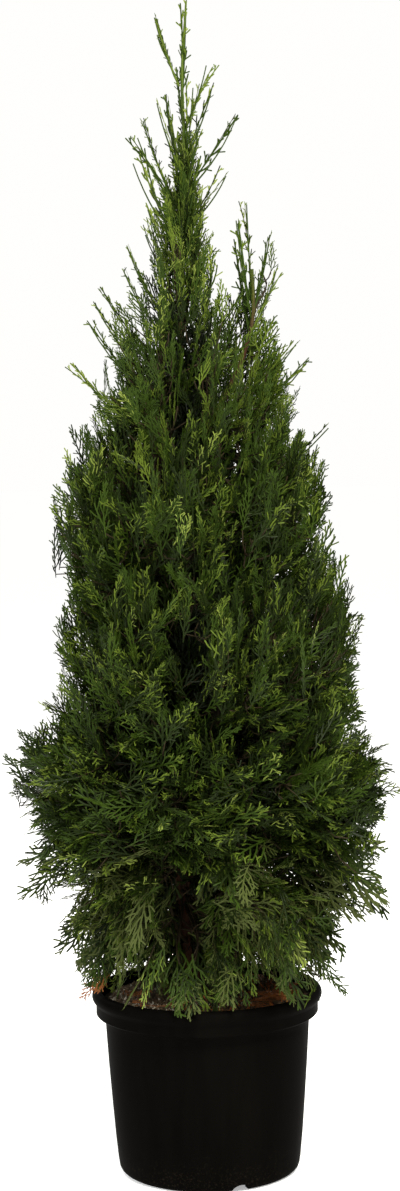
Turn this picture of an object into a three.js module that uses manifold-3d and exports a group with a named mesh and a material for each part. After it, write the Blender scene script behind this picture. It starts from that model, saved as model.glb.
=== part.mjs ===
// A thuja in a round nursery pot: a narrow conifer with one trunk, upright flat
// sprays above and spreading, drooping ones near the pot.
// Millimetres, +Z up. The origin is the centre of the pot's underside, the front
// faces -Y and +X is to the right.

import * as THREE from 'three';
import { mergeVertices } from 'three/addons/utils/BufferGeometryUtils.js';
import Module from 'manifold-3d';

const wasm = await Module();
wasm.setup();

// ---------------------------------------------------------------- driving sizes

const CLEAR = 0.4; // free space kept between neighbouring solids

// The pot.
const POT_HEIGHT = 208;
const RIM_RADIUS = 130; // the widest line of the rolled lip
const LIP_HEIGHT = 16;
const COLLAR_RADIUS = 125.5;
const COLLAR_FOOT = 180; // height of the collar's lower edge
const COLLAR_STEP = 4; // height of the slope from the collar in to the body
const BODY_TOP_RADIUS = 115.5;
const BODY_FOOT_RADIUS = 102.5;
const CORNER_RADIUS = 9; // rounding between the body and the foot ring
const WALL = 2.2;
const FLOOR_LIFT = 9; // the floor's height over the ground
const FLOOR_THICKNESS = 2.5;
const FOOT_RING_WIDTH = 8;
const BOSS_RADIUS = 26; // the middle of the underside, which touches the ground
const NOTCH_COUNT = 3;
const NOTCH_WIDTH = 20;
const NOTCH_HEIGHT = 8;
const NOTCH_TURN = -70; // degrees from +X to the first notch
const POT_SIDES = 40;

// The soil.
const SOIL_TOP = 195;
const SOIL_SWELL = 1.6; // how far the surface rises and falls
const SEAT_RADIUS = 26; // the level patch that the trunk stands on
const RIM_SPACE = 5; // height over the rim that foliage leaves free

// The trunk, from its flat cut on the soil to the tip of the leader.
const TRUNK = [
  { z: SOIL_TOP + CLEAR, x: -13, y: 4, radius: 9.6 },
  { z: 222, x: -16, y: 4, radius: 8.4 },
  { z: 306, x: -24, y: 3, radius: 7.6 },
  { z: 430, x: -30, y: 0, radius: 6.8 },
  { z: 560, x: -34, y: -2, radius: 5.9 },
  { z: 690, x: -33, y: -2, radius: 5.0 },
  { z: 820, x: -22, y: 0, radius: 4.1 },
  { z: 930, x: -17, y: 1, radius: 3.4 },
  { z: 1030, x: -15, y: 0, radius: 2.7 },
  { z: 1146, x: -9, y: 0, radius: 1.9 },
  { z: 1225, x: -10, y: 0, radius: 1.5 },
  { z: 1307, x: -4, y: 0, radius: 1.1 },
];
const TRUNK_SIDES = 10;
const FLARE = 0.42; // how much wider the root flare is than the trunk above it
const FLARE_HEIGHT = 16;
const FLARE_RIDGES = 4;

// The tiers of foliage. Each tier is a ring of upright lobes; a tier's lobes taper
// into the gaps between the lobes of the tiers below and above it.
const LOBES = 6;
const TIERS = [
  { name: 'skirt', foot: 244, top: 404, turn: 8, right: 218, left: 202, front: 186, back: 190 },
  { name: 'lower', foot: 340, top: 552, turn: 38, right: 248, left: 254, front: 206, back: 208 },
  { name: 'middle', foot: 470, top: 700, turn: 8, right: 207, left: 186, front: 182, back: 184 },
  { name: 'upper', foot: 616, top: 838, turn: 38, right: 166, left: 186, front: 156, back: 154 },
  { name: 'shoulder', foot: 762, top: 984, turn: 8, right: 122, left: 132, front: 114, back: 118 },
];
const LOBE_GAP = 2.4; // degrees left free at each side of a lobe
const LOBE_CORE = 0.3; // share of the reach that is bare wood round the trunk
const LOBE_RINGS = 8;
const LOBE_SIDES = 8;
const LOBE_ROUGHNESS = 0.1;
const LOBE_BELLY = 0.4; // share of the height at which a lobe reaches furthest
const LOBE_FOOT_REACH = 0.6; // shares of the reach at its foot and at its top
const LOBE_TOP_REACH = 0.46;

// How steeply foliage rises away from the trunk, by height: it droops near the pot.
const RISE = [
  { z: 200, slope: -0.16 },
  { z: 330, slope: -0.06 },
  { z: 450, slope: 0.04 },
  { z: 600, slope: 0.24 },
  { z: 760, slope: 0.42 },
  { z: 950, slope: 0.56 },
];

// Boughs run from the trunk to the lobes of these tiers.
const BOUGH_TIERS = [
  { tier: 'lower', name: 'bough_low', drop: 96, radius: 4.6 },
  { tier: 'upper', name: 'bough_high', drop: 84, radius: 3.2 },
];
const BOUGH_SIDES = 7;
const BOUGH_BITE = 7; // how far a bough reaches into its mass

// The upright stem of the second leader, on the right, and the small side leader.
const SECOND_LEADER = [
  { x: -12, y: -1, z: 800, radius: 3.0 },
  { x: 18, y: -5, z: 848, radius: 2.9 },
  { x: 48, y: -8, z: 905, radius: 2.6 },
  { x: 64, y: -8, z: 960, radius: 2.2 },
  { x: 64, y: -8, z: 1012, radius: 1.8 },
];
const SIDE_LEADER = [
  { x: -13, y: -1, z: 1214, radius: 1.3 },
  { x: -22, y: -3, z: 1236, radius: 1.2 },
  { x: -31, y: -4, z: 1262, radius: 1.1 },
  { x: -38, y: -4, z: 1288, radius: 0.9 },
];

// Long thin masses: the shoots at the top, the second leader's sprays and the
// drooping pads over the rim. Each runs from its root to its tip.
const PLUMES = [
  { name: 'crest_left', root: [-26, 4, 960], tip: [-50, 4, 1092], radius: 19, belly: 0.45 },
  { name: 'crest_right', root: [2, 6, 960], tip: [14, 6, 1116], radius: 15, belly: 0.5 },
  { name: 'crest_front', root: [-16, -20, 956], tip: [-24, -34, 1104], radius: 17, belly: 0.5 },
  { name: 'crest_back', root: [-12, 30, 960], tip: [-12, 40, 1100], radius: 16, belly: 0.5 },
  { name: 'tuft_left', root: [-17, -3, 1092], tip: [-60, -4, 1176], radius: 13, belly: 0.5 },
  { name: 'tuft_right', root: [2, -3, 1104], tip: [48, -6, 1176], radius: 10, belly: 0.5 },
  { name: 'tuft_top', root: [-4, 5, 1136], tip: [18, 4, 1236], radius: 8, belly: 0.5 },
  { name: 'spire_inner', root: [64, -8, 1000], tip: [58, -8, 1084], radius: 10, belly: 0.4 },
  { name: 'spire_outer', root: [84, 4, 962], tip: [88, 2, 1050], radius: 11, belly: 0.4 },
  { name: 'pad_left', root: [-92, -30, 236], tip: [-172, -44, 198], radius: 12, belly: 0.6 },
  { name: 'pad_front', root: [-24, -70, 232], tip: [-14, -150, 206], radius: 9, belly: 0.5 },
  { name: 'pad_right', root: [96, -20, 232], tip: [156, -34, 218], radius: 9, belly: 0.5 },
];
const PLUME_RINGS = 6;
const PLUME_SIDES = 7;

// --------------------------------------------------------------------- finishes

const finish = (colour, roughness) =>
  new THREE.MeshStandardMaterial({ color: colour, roughness, metalness: 0 });

const POT_PLASTIC = finish(0x171610, 0.6);
const SOIL_MIX = finish(0x4a3b2c, 0.95);
const BARK = finish(0x5a4230, 0.9);
const FOLIAGE = finish(0x35461c, 0.9);

// ---------------------------------------------------------------------- helpers

const thuja = new THREE.Group();

function addPart(name, geometry, material) {
  const mesh = new THREE.Mesh(geometry, material);
  mesh.name = name;
  thuja.add(mesh);
}

// A value that is always the same for the same numbers, between -1 and 1.
function unevenness(a, b, c) {
  const wave = Math.sin(a * 12.9898 + b * 78.233 + c * 37.719) * 43758.5453;
  return 2 * (wave - Math.floor(wave)) - 1;
}

// The value of a key at height z, from rows sorted by height.
function atHeight(rows, key, z) {
  if (z <= rows[0].z) return rows[0][key];
  for (let i = 1; i < rows.length; i++) {
    if (z <= rows[i].z) {
      const share = (z - rows[i - 1].z) / (rows[i].z - rows[i - 1].z);
      return THREE.MathUtils.lerp(rows[i - 1][key], rows[i][key], share);
    }
  }
  return rows[rows.length - 1][key];
}

// A closed skin over a row of rings with equally many points, with a point or the
// ring's own middle at each end.
function skin(rings, startPoint, endPoint) {
  const sides = rings[0].length;
  const points = rings.flat();
  const middle = (ring) =>
    ring.reduce((sum, p) => sum.add(p), new THREE.Vector3()).divideScalar(ring.length);
  points.push(startPoint ?? middle(rings[0]), endPoint ?? middle(rings[rings.length - 1]));
  const start = points.length - 2;
  const end = points.length - 1;
  const faces = [];
  for (let k = 0; k < sides; k++) {
    const next = (k + 1) % sides;
    for (let r = 0; r + 1 < rings.length; r++) {
      const low = r * sides;
      const high = low + sides;
      faces.push([low + k, low + next, high + next], [low + k, high + next, high + k]);
    }
    const last = (rings.length - 1) * sides;
    faces.push([start, next, k], [end, last + k, last + next]);
  }
  return closedGeometry(points, faces);
}

// Geometry from points and triangles, turned to face outwards.
function closedGeometry(points, faces) {
  const volume = faces.reduce(
    (sum, [a, b, c]) => sum + points[a].dot(points[b].clone().cross(points[c])),
    0,
  );
  const outward = volume > 0 ? faces : faces.map(([a, b, c]) => [a, c, b]);
  const geometry = new THREE.BufferGeometry();
  geometry.setAttribute(
    'position',
    new THREE.Float32BufferAttribute(points.flatMap((p) => [p.x, p.y, p.z]), 3),
  );
  geometry.setIndex(outward.flat());
  geometry.computeVertexNormals();
  return geometry;
}

function toSolid(geometry) {
  const bare = geometry.clone();
  bare.deleteAttribute('normal');
  bare.deleteAttribute('uv');
  const merged = mergeVertices(bare, 1e-4);
  const vertProperties = new Float32Array(merged.attributes.position.array);
  const triVerts = new Uint32Array(merged.index.array);
  return new wasm.Manifold(new wasm.Mesh({ numProp: 3, vertProperties, triVerts }));
}

function toGeometry(solid) {
  const { vertProperties, triVerts } = solid.getMesh();
  const geometry = new THREE.BufferGeometry();
  geometry.setAttribute('position', new THREE.BufferAttribute(vertProperties, 3));
  geometry.setIndex(new THREE.BufferAttribute(triVerts, 1));
  geometry.computeVertexNormals();
  return geometry;
}

function boxesMeet(a, b) {
  return [0, 1, 2].every((i) => a.min[i] < b.max[i] && b.min[i] < a.max[i]);
}

// A solid with others cut out of it; crumbs that a cut leaves are dropped.
function cutBy(solid, cutters) {
  const box = solid.boundingBox();
  const near = cutters.filter((cutter) => boxesMeet(box, cutter.boundingBox()));
  if (near.length === 0) return solid;
  const cut = near.reduce((rest, cutter) => rest.subtract(cutter), solid);
  return cut.decompose().reduce((best, piece) => (piece.volume() > best.volume() ? piece : best));
}

// -------------------------------------------------------------------------- pot

// The body's outer radius at a height below the collar.
function bodyRadius(z) {
  return THREE.MathUtils.mapLinear(
    z, CORNER_RADIUS, COLLAR_FOOT - COLLAR_STEP, BODY_FOOT_RADIUS, BODY_TOP_RADIUS,
  );
}

function arc(centreR, centreZ, radius, fromDegrees, toDegrees, steps) {
  return Array.from({ length: steps + 1 }, (_, i) => {
    const angle = THREE.MathUtils.degToRad(fromDegrees + ((toDegrees - fromDegrees) * i) / steps);
    return new THREE.Vector2(
      centreR + radius * Math.cos(angle),
      centreZ + radius * Math.sin(angle),
    );
  });
}

function potShell() {
  const point = (r, z) => new THREE.Vector2(r, z);
  const lipRadius = LIP_HEIGHT / 2;
  const lipCentre = RIM_RADIUS - lipRadius;
  const footOuter = BODY_FOOT_RADIUS - CORNER_RADIUS;
  const footInner = footOuter - FOOT_RING_WIDTH;
  const floorTop = FLOOR_LIFT + FLOOR_THICKNESS;
  const innerRadius = (z) => bodyRadius(z) - WALL;
  const profile = [
    point(0, 0),
    point(BOSS_RADIUS, 0),
    point(BOSS_RADIUS + 3, FLOOR_LIFT),
    point(footInner - 2, FLOOR_LIFT),
    point(footInner, 0),
    point(footOuter, 0),
    ...arc(footOuter, CORNER_RADIUS, CORNER_RADIUS, -60, 0, 2),
    point(bodyRadius(COLLAR_FOOT / 2), COLLAR_FOOT / 2),
    point(BODY_TOP_RADIUS, COLLAR_FOOT - COLLAR_STEP),
    point(COLLAR_RADIUS, COLLAR_FOOT),
    point(COLLAR_RADIUS, POT_HEIGHT - LIP_HEIGHT),
    ...arc(lipCentre, POT_HEIGHT - lipRadius, lipRadius, -35, 90, 4),
    point(COLLAR_RADIUS - WALL - 3, POT_HEIGHT - 3),
    point(COLLAR_RADIUS - WALL - 4, COLLAR_FOOT),
    point(innerRadius(COLLAR_FOOT - 8), COLLAR_FOOT - 8),
    point(innerRadius(floorTop), floorTop),
    point(0, floorTop),
  ];
  const shell = new THREE.LatheGeometry(profile, POT_SIDES);
  shell.rotateX(Math.PI / 2);
  return toGeometry(cutBy(toSolid(shell), potNotches(footInner)));
}

// Arched openings in the foot ring, which let the drained water out.
function potNotches(footInner) {
  const half = NOTCH_WIDTH / 2;
  const arch = new THREE.Shape();
  arch.moveTo(-half, -1);
  arch.lineTo(half, -1);
  arch.lineTo(half, NOTCH_HEIGHT - 4);
  arch.quadraticCurveTo(half, NOTCH_HEIGHT, half - 4, NOTCH_HEIGHT);
  arch.lineTo(4 - half, NOTCH_HEIGHT);
  arch.quadraticCurveTo(-half, NOTCH_HEIGHT, -half, NOTCH_HEIGHT - 4);
  arch.closePath();
  const depth = BODY_FOOT_RADIUS + 10 - (footInner - 4);
  return Array.from({ length: NOTCH_COUNT }, (_, i) => {
    const geometry = new THREE.ExtrudeGeometry(arch, { depth, bevelEnabled: false, curveSegments: 3 });
    geometry.rotateX(Math.PI / 2);
    geometry.translate(0, BODY_FOOT_RADIUS + 10, 0);
    const turn = NOTCH_TURN + (360 / NOTCH_COUNT) * i - 90;
    geometry.rotateZ(THREE.MathUtils.degToRad(turn));
    return toSolid(geometry);
  });
}

addPart('pot', potShell(), POT_PLASTIC);

// ------------------------------------------------------------------------- soil

// The soil fills the pot to just under the rim. It is level under the trunk.
function soilPlug() {
  const floor = FLOOR_LIFT + FLOOR_THICKNESS + CLEAR;
  const inside = (z) => bodyRadius(z) - WALL - 3 * CLEAR;
  const top = COLLAR_RADIUS - WALL - 4 - 3 * CLEAR;
  const ring = (radius, height, swell) =>
    Array.from({ length: POT_SIDES }, (_, k) => {
      const angle = (2 * Math.PI * k) / POT_SIDES;
      const lift = swell * unevenness(radius, k, 5);
      return new THREE.Vector3(radius * Math.cos(angle), radius * Math.sin(angle), height + lift);
    });
  const seat = ring(SEAT_RADIUS, SOIL_TOP, 0);
  return skin([
    ring(inside(floor), floor, 0),
    ring(inside(COLLAR_FOOT - 10), COLLAR_FOOT - 8, 0),
    ring(top, COLLAR_FOOT + 1, 0),
    ring(top, SOIL_TOP - SOIL_SWELL, SOIL_SWELL / 2),
    ring((top * 2 + SEAT_RADIUS) / 3, SOIL_TOP - 1, SOIL_SWELL),
    ring((top + SEAT_RADIUS * 2) / 3, SOIL_TOP, SOIL_SWELL),
    seat,
  ]);
}

addPart('soil', soilPlug(), SOIL_MIX);

// ------------------------------------------------------------------------ limbs

// A tapering limb along points with radii. Its first ring is level if asked, for
// a flat cut. grow makes a wider copy to cut room for the limb in a mass.
function limb(stations, sides, { level = false, grow = 0, ridge = () => 1 } = {}) {
  const path = stations.map((s) => new THREE.Vector3(s.x, s.y, s.z));
  const rings = path.map((centre, i) => {
    const before = path[Math.max(i - 1, 0)];
    const after = path[Math.min(i + 1, path.length - 1)];
    const along = new THREE.Vector3().subVectors(after, before).normalize();
    if (level && i === 0) along.set(0, 0, 1);
    const side = new THREE.Vector3(0, 1, 0).cross(along).normalize();
    const up = along.clone().cross(side);
    return Array.from({ length: sides }, (_, k) => {
      const angle = (2 * Math.PI * k) / sides;
      const radius = stations[i].radius * ridge(angle, stations[i].z) + grow;
      return centre.clone()
        .addScaledVector(side, radius * Math.cos(angle))
        .addScaledVector(up, radius * Math.sin(angle));
    });
  });
  return skin(rings);
}

function trunkStation(z) {
  return {
    x: atHeight(TRUNK, 'x', z),
    y: atHeight(TRUNK, 'y', z),
    z,
    radius: atHeight(TRUNK, 'radius', z),
  };
}

// The flare swells the foot into a few ridges, each the start of a root.
function rootFlare(angle, z) {
  const fade = Math.exp(-(z - TRUNK[0].z) / FLARE_HEIGHT);
  return 1 + fade * FLARE * (1 + 0.4 * Math.cos(FLARE_RIDGES * angle + 0.6));
}

function trunkLimb(grow) {
  const foot = TRUNK[0].z;
  const heights = [foot, foot + 5, foot + 12, foot + 24, ...TRUNK.slice(2).map((s) => s.z)];
  const stations = heights.map(trunkStation);
  return limb(stations, TRUNK_SIDES, { level: true, grow, ridge: rootFlare });
}

addPart('trunk', trunkLimb(0), BARK);

// Wider copies of the limbs, which every mass is cut by.
const limbRoom = [toSolid(trunkLimb(CLEAR))];

// A limb with its foot kept clear of the one that it grows from.
function addLimb(name, stations) {
  const parents = limbRoom.slice();
  const solid = cutBy(toSolid(limb(stations, BOUGH_SIDES)), parents);
  addPart(name, toGeometry(solid), BARK);
  limbRoom.push(toSolid(limb(stations, BOUGH_SIDES, { grow: CLEAR })));
}

// ------------------------------------------------------------- shape of a lobe

// The crown's reach from the trunk in one direction, from a tier's four reaches.
function tierReach(tier, angle, z) {
  const reachX = Math.cos(angle) > 0 ? tier.right : tier.left;
  const reachY = Math.sin(angle) > 0 ? tier.back : tier.front;
  const fromAxis = 1 / Math.hypot(Math.cos(angle) / reachX, Math.sin(angle) / reachY);
  const trunk = trunkStation(z);
  return fromAxis - trunk.x * Math.cos(angle) - trunk.y * Math.sin(angle);
}

// A point of the crown from the height where its foliage leaves the trunk, its
// direction and its distance from the trunk.
function crownPoint(z, angle, distance) {
  const trunk = trunkStation(z);
  return new THREE.Vector3(
    trunk.x + distance * Math.cos(angle),
    trunk.y + distance * Math.sin(angle),
    z + distance * atHeight(RISE, 'slope', z),
  );
}

function lobeAngle(tier, index) {
  return THREE.MathUtils.degToRad(tier.turn + (360 / LOBES) * index);
}

// A lobe's width, as a share of its room, and its inner and outer distances.
function lobeSection(tier, index, share) {
  const angle = lobeAngle(tier, index);
  const z = THREE.MathUtils.lerp(tier.foot, tier.top, share);
  const reach = tierReach(tier, angle, z);
  const width = Math.min(1, share / 0.34, (1 - share) / 0.36);
  const below = Math.max(0, 1 - share / LOBE_BELLY);
  const above = Math.max(0, (share - LOBE_BELLY) / (1 - LOBE_BELLY));
  const lost = (1 - LOBE_FOOT_REACH) * below ** 2 + (1 - LOBE_TOP_REACH) * above ** 1.6;
  const outer = reach * (1 - lost) * (1 + 0.04 * unevenness(index, share * 7, tier.turn));
  const inner = reach * (LOBE_CORE + 0.1 * Math.pow(share, 3));
  return { angle, z, width, inner, outer };
}

function lobe(tier, index) {
  const room = Math.PI / LOBES - THREE.MathUtils.degToRad(LOBE_GAP);
  const rings = [];
  for (let r = 0; r < LOBE_RINGS; r++) {
    const share = 0.06 + (0.88 * r) / (LOBE_RINGS - 1);
    const { angle, z, width, inner, outer } = lobeSection(tier, index, share);
    const middle = (inner + outer) / 2;
    const half = (outer - inner) / 2;
    rings.push(Array.from({ length: LOBE_SIDES }, (_, k) => {
      const turn = (2 * Math.PI * k) / LOBE_SIDES;
      const across = Math.sign(Math.sin(turn)) * Math.pow(Math.abs(Math.sin(turn)), 0.75);
      const rough = 1 + LOBE_ROUGHNESS * unevenness(k + index * 9, r, tier.foot);
      const away = middle + half * Math.cos(turn) * (Math.cos(turn) > 0 ? rough : 1);
      const shrink = 0.94 + 0.06 * unevenness(r, k, tier.turn + index);
      return crownPoint(z, angle + room * width * across * shrink, away);
    }));
  }
  const foot = lobeSection(tier, index, 0);
  const top = lobeSection(tier, index, 1);
  return skin(
    rings,
    crownPoint(foot.z, foot.angle, (foot.inner + foot.outer) / 2),
    crownPoint(top.z, top.angle, THREE.MathUtils.lerp(top.inner, top.outer, 0.8)),
  );
}

// ----------------------------------------------------------------------- boughs

// A bough leaves the trunk below its lobe, rises in a curve and ends just inside
// the lobe's inner face.
function boughStations(tier, index, drop, radius) {
  const entry = lobeSection(tier, index, 0.4);
  const end = crownPoint(entry.z, entry.angle, entry.inner + BOUGH_BITE);
  const start = trunkStation(entry.z - drop);
  const steps = 5;
  return Array.from({ length: steps + 1 }, (_, i) => {
    const t = i / steps;
    const sag = Math.sin(t * Math.PI) * 6;
    return {
      x: THREE.MathUtils.lerp(start.x, end.x, t),
      y: THREE.MathUtils.lerp(start.y, end.y, t),
      z: THREE.MathUtils.lerp(start.z, end.z, t) - sag,
      radius: radius * (1 - 0.5 * t),
    };
  });
}

for (const { tier: tierName, name, drop, radius } of BOUGH_TIERS) {
  const tier = TIERS.find((t) => t.name === tierName);
  for (let i = 0; i < LOBES; i++) {
    const stagger = 14 * unevenness(i, drop, 3);
    addLimb(`${name}_${i + 1}`, boughStations(tier, i, drop + stagger, radius));
  }
}

addLimb('second_leader', SECOND_LEADER);
addLimb('side_leader', SIDE_LEADER);

// ----------------------------------------------------------------------- masses

// Foliage stays clear of the pot and of the space for water over the soil.
const rimRoom = new THREE.CylinderGeometry(RIM_RADIUS + 2, RIM_RADIUS + 2, POT_HEIGHT + RIM_SPACE, POT_SIDES);
rimRoom.rotateX(Math.PI / 2);
rimRoom.translate(0, 0, (POT_HEIGHT + RIM_SPACE) / 2);
limbRoom.push(toSolid(rimRoom));

const massRoom = [];

function addMass(name, geometry, cutters) {
  const solid = cutBy(toSolid(geometry), cutters);
  addPart(name, toGeometry(solid), FOLIAGE);
  return solid;
}

for (const tier of TIERS) {
  for (let i = 0; i < LOBES; i++) {
    massRoom.push(addMass(`${tier.name}_${i + 1}`, lobe(tier, i), limbRoom));
  }
}

// A plume is an uneven spindle, blunt at its root and drawn out at its tip.
function plume({ root, tip, radius, belly }, seed, grow) {
  const from = new THREE.Vector3(...root);
  const to = new THREE.Vector3(...tip);
  const along = new THREE.Vector3().subVectors(to, from).normalize();
  const side = new THREE.Vector3(0, 1, 0).cross(along).normalize();
  const up = along.clone().cross(side);
  const rings = Array.from({ length: PLUME_RINGS }, (_, r) => {
    const share = 0.08 + (0.84 * r) / (PLUME_RINGS - 1);
    const swell = share < belly ? share / belly : (1 - share) / (1 - belly);
    const centre = from.clone().lerp(to, share);
    return Array.from({ length: PLUME_SIDES }, (_, k) => {
      const angle = (2 * Math.PI * k) / PLUME_SIDES;
      const rough = 1 + 0.16 * unevenness(seed, r, k);
      const away = radius * Math.pow(swell, 0.7) * rough + grow;
      return centre.clone()
        .addScaledVector(side, away * Math.cos(angle))
        .addScaledVector(up, away * Math.sin(angle));
    });
  });
  return skin(rings, from.addScaledVector(along, -grow), to.addScaledVector(along, grow));
}

const plumeRoom = [];
PLUMES.forEach((shape, i) => {
  addMass(shape.name, plume(shape, i + 1, 0), [...limbRoom, ...massRoom, ...plumeRoom]);
  plumeRoom.push(toSolid(plume(shape, i + 1, CLEAR)));
});

export default thuja;
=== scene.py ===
"""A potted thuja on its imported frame: pot, potting mix, bark, twigs and scale-leaf sprays."""

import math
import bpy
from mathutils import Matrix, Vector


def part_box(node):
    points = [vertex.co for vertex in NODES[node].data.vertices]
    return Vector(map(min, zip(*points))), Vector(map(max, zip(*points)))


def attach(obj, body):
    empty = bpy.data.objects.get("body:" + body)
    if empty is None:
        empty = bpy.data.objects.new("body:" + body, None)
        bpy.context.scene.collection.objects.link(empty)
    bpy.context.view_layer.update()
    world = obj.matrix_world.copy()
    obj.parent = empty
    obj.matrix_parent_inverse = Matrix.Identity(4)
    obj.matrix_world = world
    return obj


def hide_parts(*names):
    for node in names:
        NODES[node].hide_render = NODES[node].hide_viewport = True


bl_info = {
    "name": "Potted Thuja",
    "version": (1, 0, 0),
    "blender": (4, 5, 0),
    "location": "View3D > Sidebar > Thuja",
    "description": "Builds a potted thuja, limb by limb and spray by spray",
    "category": "Object",
}

import bmesh
import bpy
import numpy as np
from mathutils import Matrix, Vector

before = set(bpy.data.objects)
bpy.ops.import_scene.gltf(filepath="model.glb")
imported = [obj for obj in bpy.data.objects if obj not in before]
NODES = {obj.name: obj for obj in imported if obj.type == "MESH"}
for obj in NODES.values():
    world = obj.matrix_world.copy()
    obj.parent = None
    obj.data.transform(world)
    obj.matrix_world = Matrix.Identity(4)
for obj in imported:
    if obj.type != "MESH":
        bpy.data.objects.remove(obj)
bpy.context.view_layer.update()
MM = 0.001
UP = np.array((0.0, 0.0, 1.0))

MASSES = ("skirt", "lower", "middle", "upper", "shoulder", "crest")
TIERS = {tier: [n for n in NODES if n.startswith(tier + "_")] for tier in MASSES}
TIERS["tips"] = [n for n in NODES if n.startswith(("tuft_", "spire_", "pad_"))]
HIGH_TIERS = ("crest", "tips")


# ---------------------------------------------------------------- sizes and colours


def length_property(name, description, default):
    """A length in metres."""
    return bpy.props.FloatProperty(
        name=name, description=description, default=default, min=0.0, subtype="DISTANCE", unit="LENGTH"
    )


def amount_property(name, description, default, subtype="NONE"):
    """A number that isn't negative."""
    return bpy.props.FloatProperty(
        name=name, description=description, default=default, min=0.0, subtype=subtype
    )


def angle_property(name, description, degrees):
    """An angle, given in degrees and kept in radians."""
    return bpy.props.FloatProperty(
        name=name, description=description, default=math.radians(degrees), subtype="ANGLE"
    )


def colour_property(name, description, red, green, blue):
    """A colour given as the eye sees it, 0 to 255, and kept as scene light."""
    shares = [c / 255 for c in (red, green, blue)]
    rgb = [c / 12.92 if c <= 0.04 else ((c + 0.055) / 1.055) ** 2.4 for c in shares]
    return bpy.props.FloatVectorProperty(
        name=name, description=description, default=rgb, size=3, min=0.0, max=1.0, subtype="COLOR"
    )


class ThujaPotSettings(bpy.types.PropertyGroup):
    segments: bpy.props.IntProperty(name="Segments", description="Steps round the wall", default=216, min=24)
    notch_width: length_property("Notch width", "Width of each drainage notch in the foot ring", 0.020)
    notch_height: length_property("Notch height", "Height of each drainage notch", 0.008)
    plastic: colour_property("Plastic", "Moulded black plastic", 7, 6, 5)
    dust: colour_property("Dust", "Dried splashes of potting mix", 34, 30, 24)


class ThujaMixSettings(bpy.types.PropertyGroup):
    crumb_density: amount_property("Crumbs", "Bark crumbs to the square metre", 52000.0)
    peat: colour_property("Peat", "Damp peat between the crumbs", 46, 37, 27)
    crumb: colour_property("Bark crumb", "Composted bark", 92, 76, 56)
    grit: colour_property("Grit", "Pale grit and perlite", 186, 178, 158)
    litter: colour_property("Litter", "Dry fallen scale leaves", 150, 88, 44)


class ThujaCrownSettings(bpy.types.PropertyGroup):
    seed: bpy.props.IntProperty(name="Seed", description="Seed of the branching", default=11)
    density: amount_property("Sprays", "Outer sprays to the square metre of crown", 3850.0)
    branchlet: length_property("Branchlet width", "Width across the flattened scale leaves", 0.0019)
    bark: colour_property("Bark", "Young fibrous bark", 74, 45, 29)
    bark_crack: colour_property("Bark furrow", "Between the strips of bark", 28, 17, 12)
    shade: colour_property("Shaded green", "Leaves deep in the crown", 13, 20, 5)
    deep: colour_property("Deep green", "Older leaves along the axes", 27, 37, 9)
    middle: colour_property("Middle green", "Leaves of the year", 43, 59, 13)
    olive: colour_property("Olive green", "Leaves low on the plant", 66, 74, 35)
    fresh: colour_property("Fresh green", "Growing tips", 78, 93, 28)
    # The pale green stands for powdery tips and is also a painted highlight on lit tips. It is dealt out by
    # share, most of it high on the crown.
    pale: colour_property("Pale green", "Lit and powdery tips", 112, 125, 54)
    spent: colour_property("Spent", "Sprays that have died back", 140, 84, 44)


class ThujaStageSettings(bpy.types.PropertyGroup):
    distance: length_property("Camera distance", "From the axis of the pot", 2.6)
    eye_height: length_property("Camera height", "Over the floor", 0.82)
    pitch: angle_property("Pitch", "How far the camera looks down", 3.73)
    roll: angle_property("Roll", "How far the camera leans", -1.0)
    lens: amount_property("Lens", "Focal length in mm", 70.3)
    key: amount_property("Key light", "Power of the main light", 150.0, "POWER")
    fill: amount_property("Fill light", "Power of the side light", 38.0, "POWER")
    back: amount_property("Back light", "Power of the light behind", 70.0, "POWER")
    sky: amount_property("Room light", "Strength of the even light", 0.72)


# ---------------------------------------------------------------- meshes


def add_mesh(name, points, faces, smooth=False):
    """A mesh piece from arrays of points and of faces that all have the same number of corners."""
    points, faces = np.asarray(points, np.float32), np.asarray(faces, np.int32)
    mesh = bpy.data.meshes.new(name)
    mesh.vertices.add(len(points))
    mesh.vertices.foreach_set("co", points.ravel())
    mesh.loops.add(faces.size)
    mesh.loops.foreach_set("vertex_index", faces.ravel())
    mesh.polygons.add(len(faces))
    mesh.polygons.foreach_set("loop_start", np.arange(0, faces.size, faces.shape[1], dtype=np.int32))
    mesh.polygons.foreach_set("use_smooth", np.full(len(faces), smooth))
    mesh.update(calc_edges=True)
    piece = bpy.data.objects.new(name, mesh)
    bpy.context.scene.collection.objects.link(piece)
    return piece


def settle(piece, finish, nodes):
    """Gives a piece its finish and its place on the frame."""
    piece.data.materials.clear()
    piece.data.materials.append(finish)
    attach(piece, "root")
    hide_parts(*nodes)


def join_parts(parts):
    """Joins many pairs of points and faces into one."""
    points, faces, base = [], [], 0
    for some_points, some_faces in parts:
        points.append(some_points)
        faces.append(some_faces + base)
        base += len(some_points)
    return np.concatenate(points), np.concatenate(faces)


def through(rows, count):
    """Rows of numbers carried on a smooth curve through all of them, at count even steps."""
    rows = np.asarray(rows, float)
    ends = np.concatenate([2 * rows[:1] - rows[1:2], rows, 2 * rows[-1:] - rows[-2:-1]])
    place = np.linspace(0, len(rows) - 1, count)
    first = np.minimum(place.astype(int), len(rows) - 2)
    f = (place - first)[:, None]
    a, b, c, d = (ends[first + i] for i in range(4))
    return 0.5 * (2 * b + (c - a) * f + (2 * a - 5 * b + 4 * c - d) * f**2 + (3 * b - a - 3 * c + d) * f**3)


def unit(vectors):
    """The vectors at length one."""
    return vectors / np.maximum(np.linalg.norm(vectors, axis=-1, keepdims=True), 1e-9)


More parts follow.
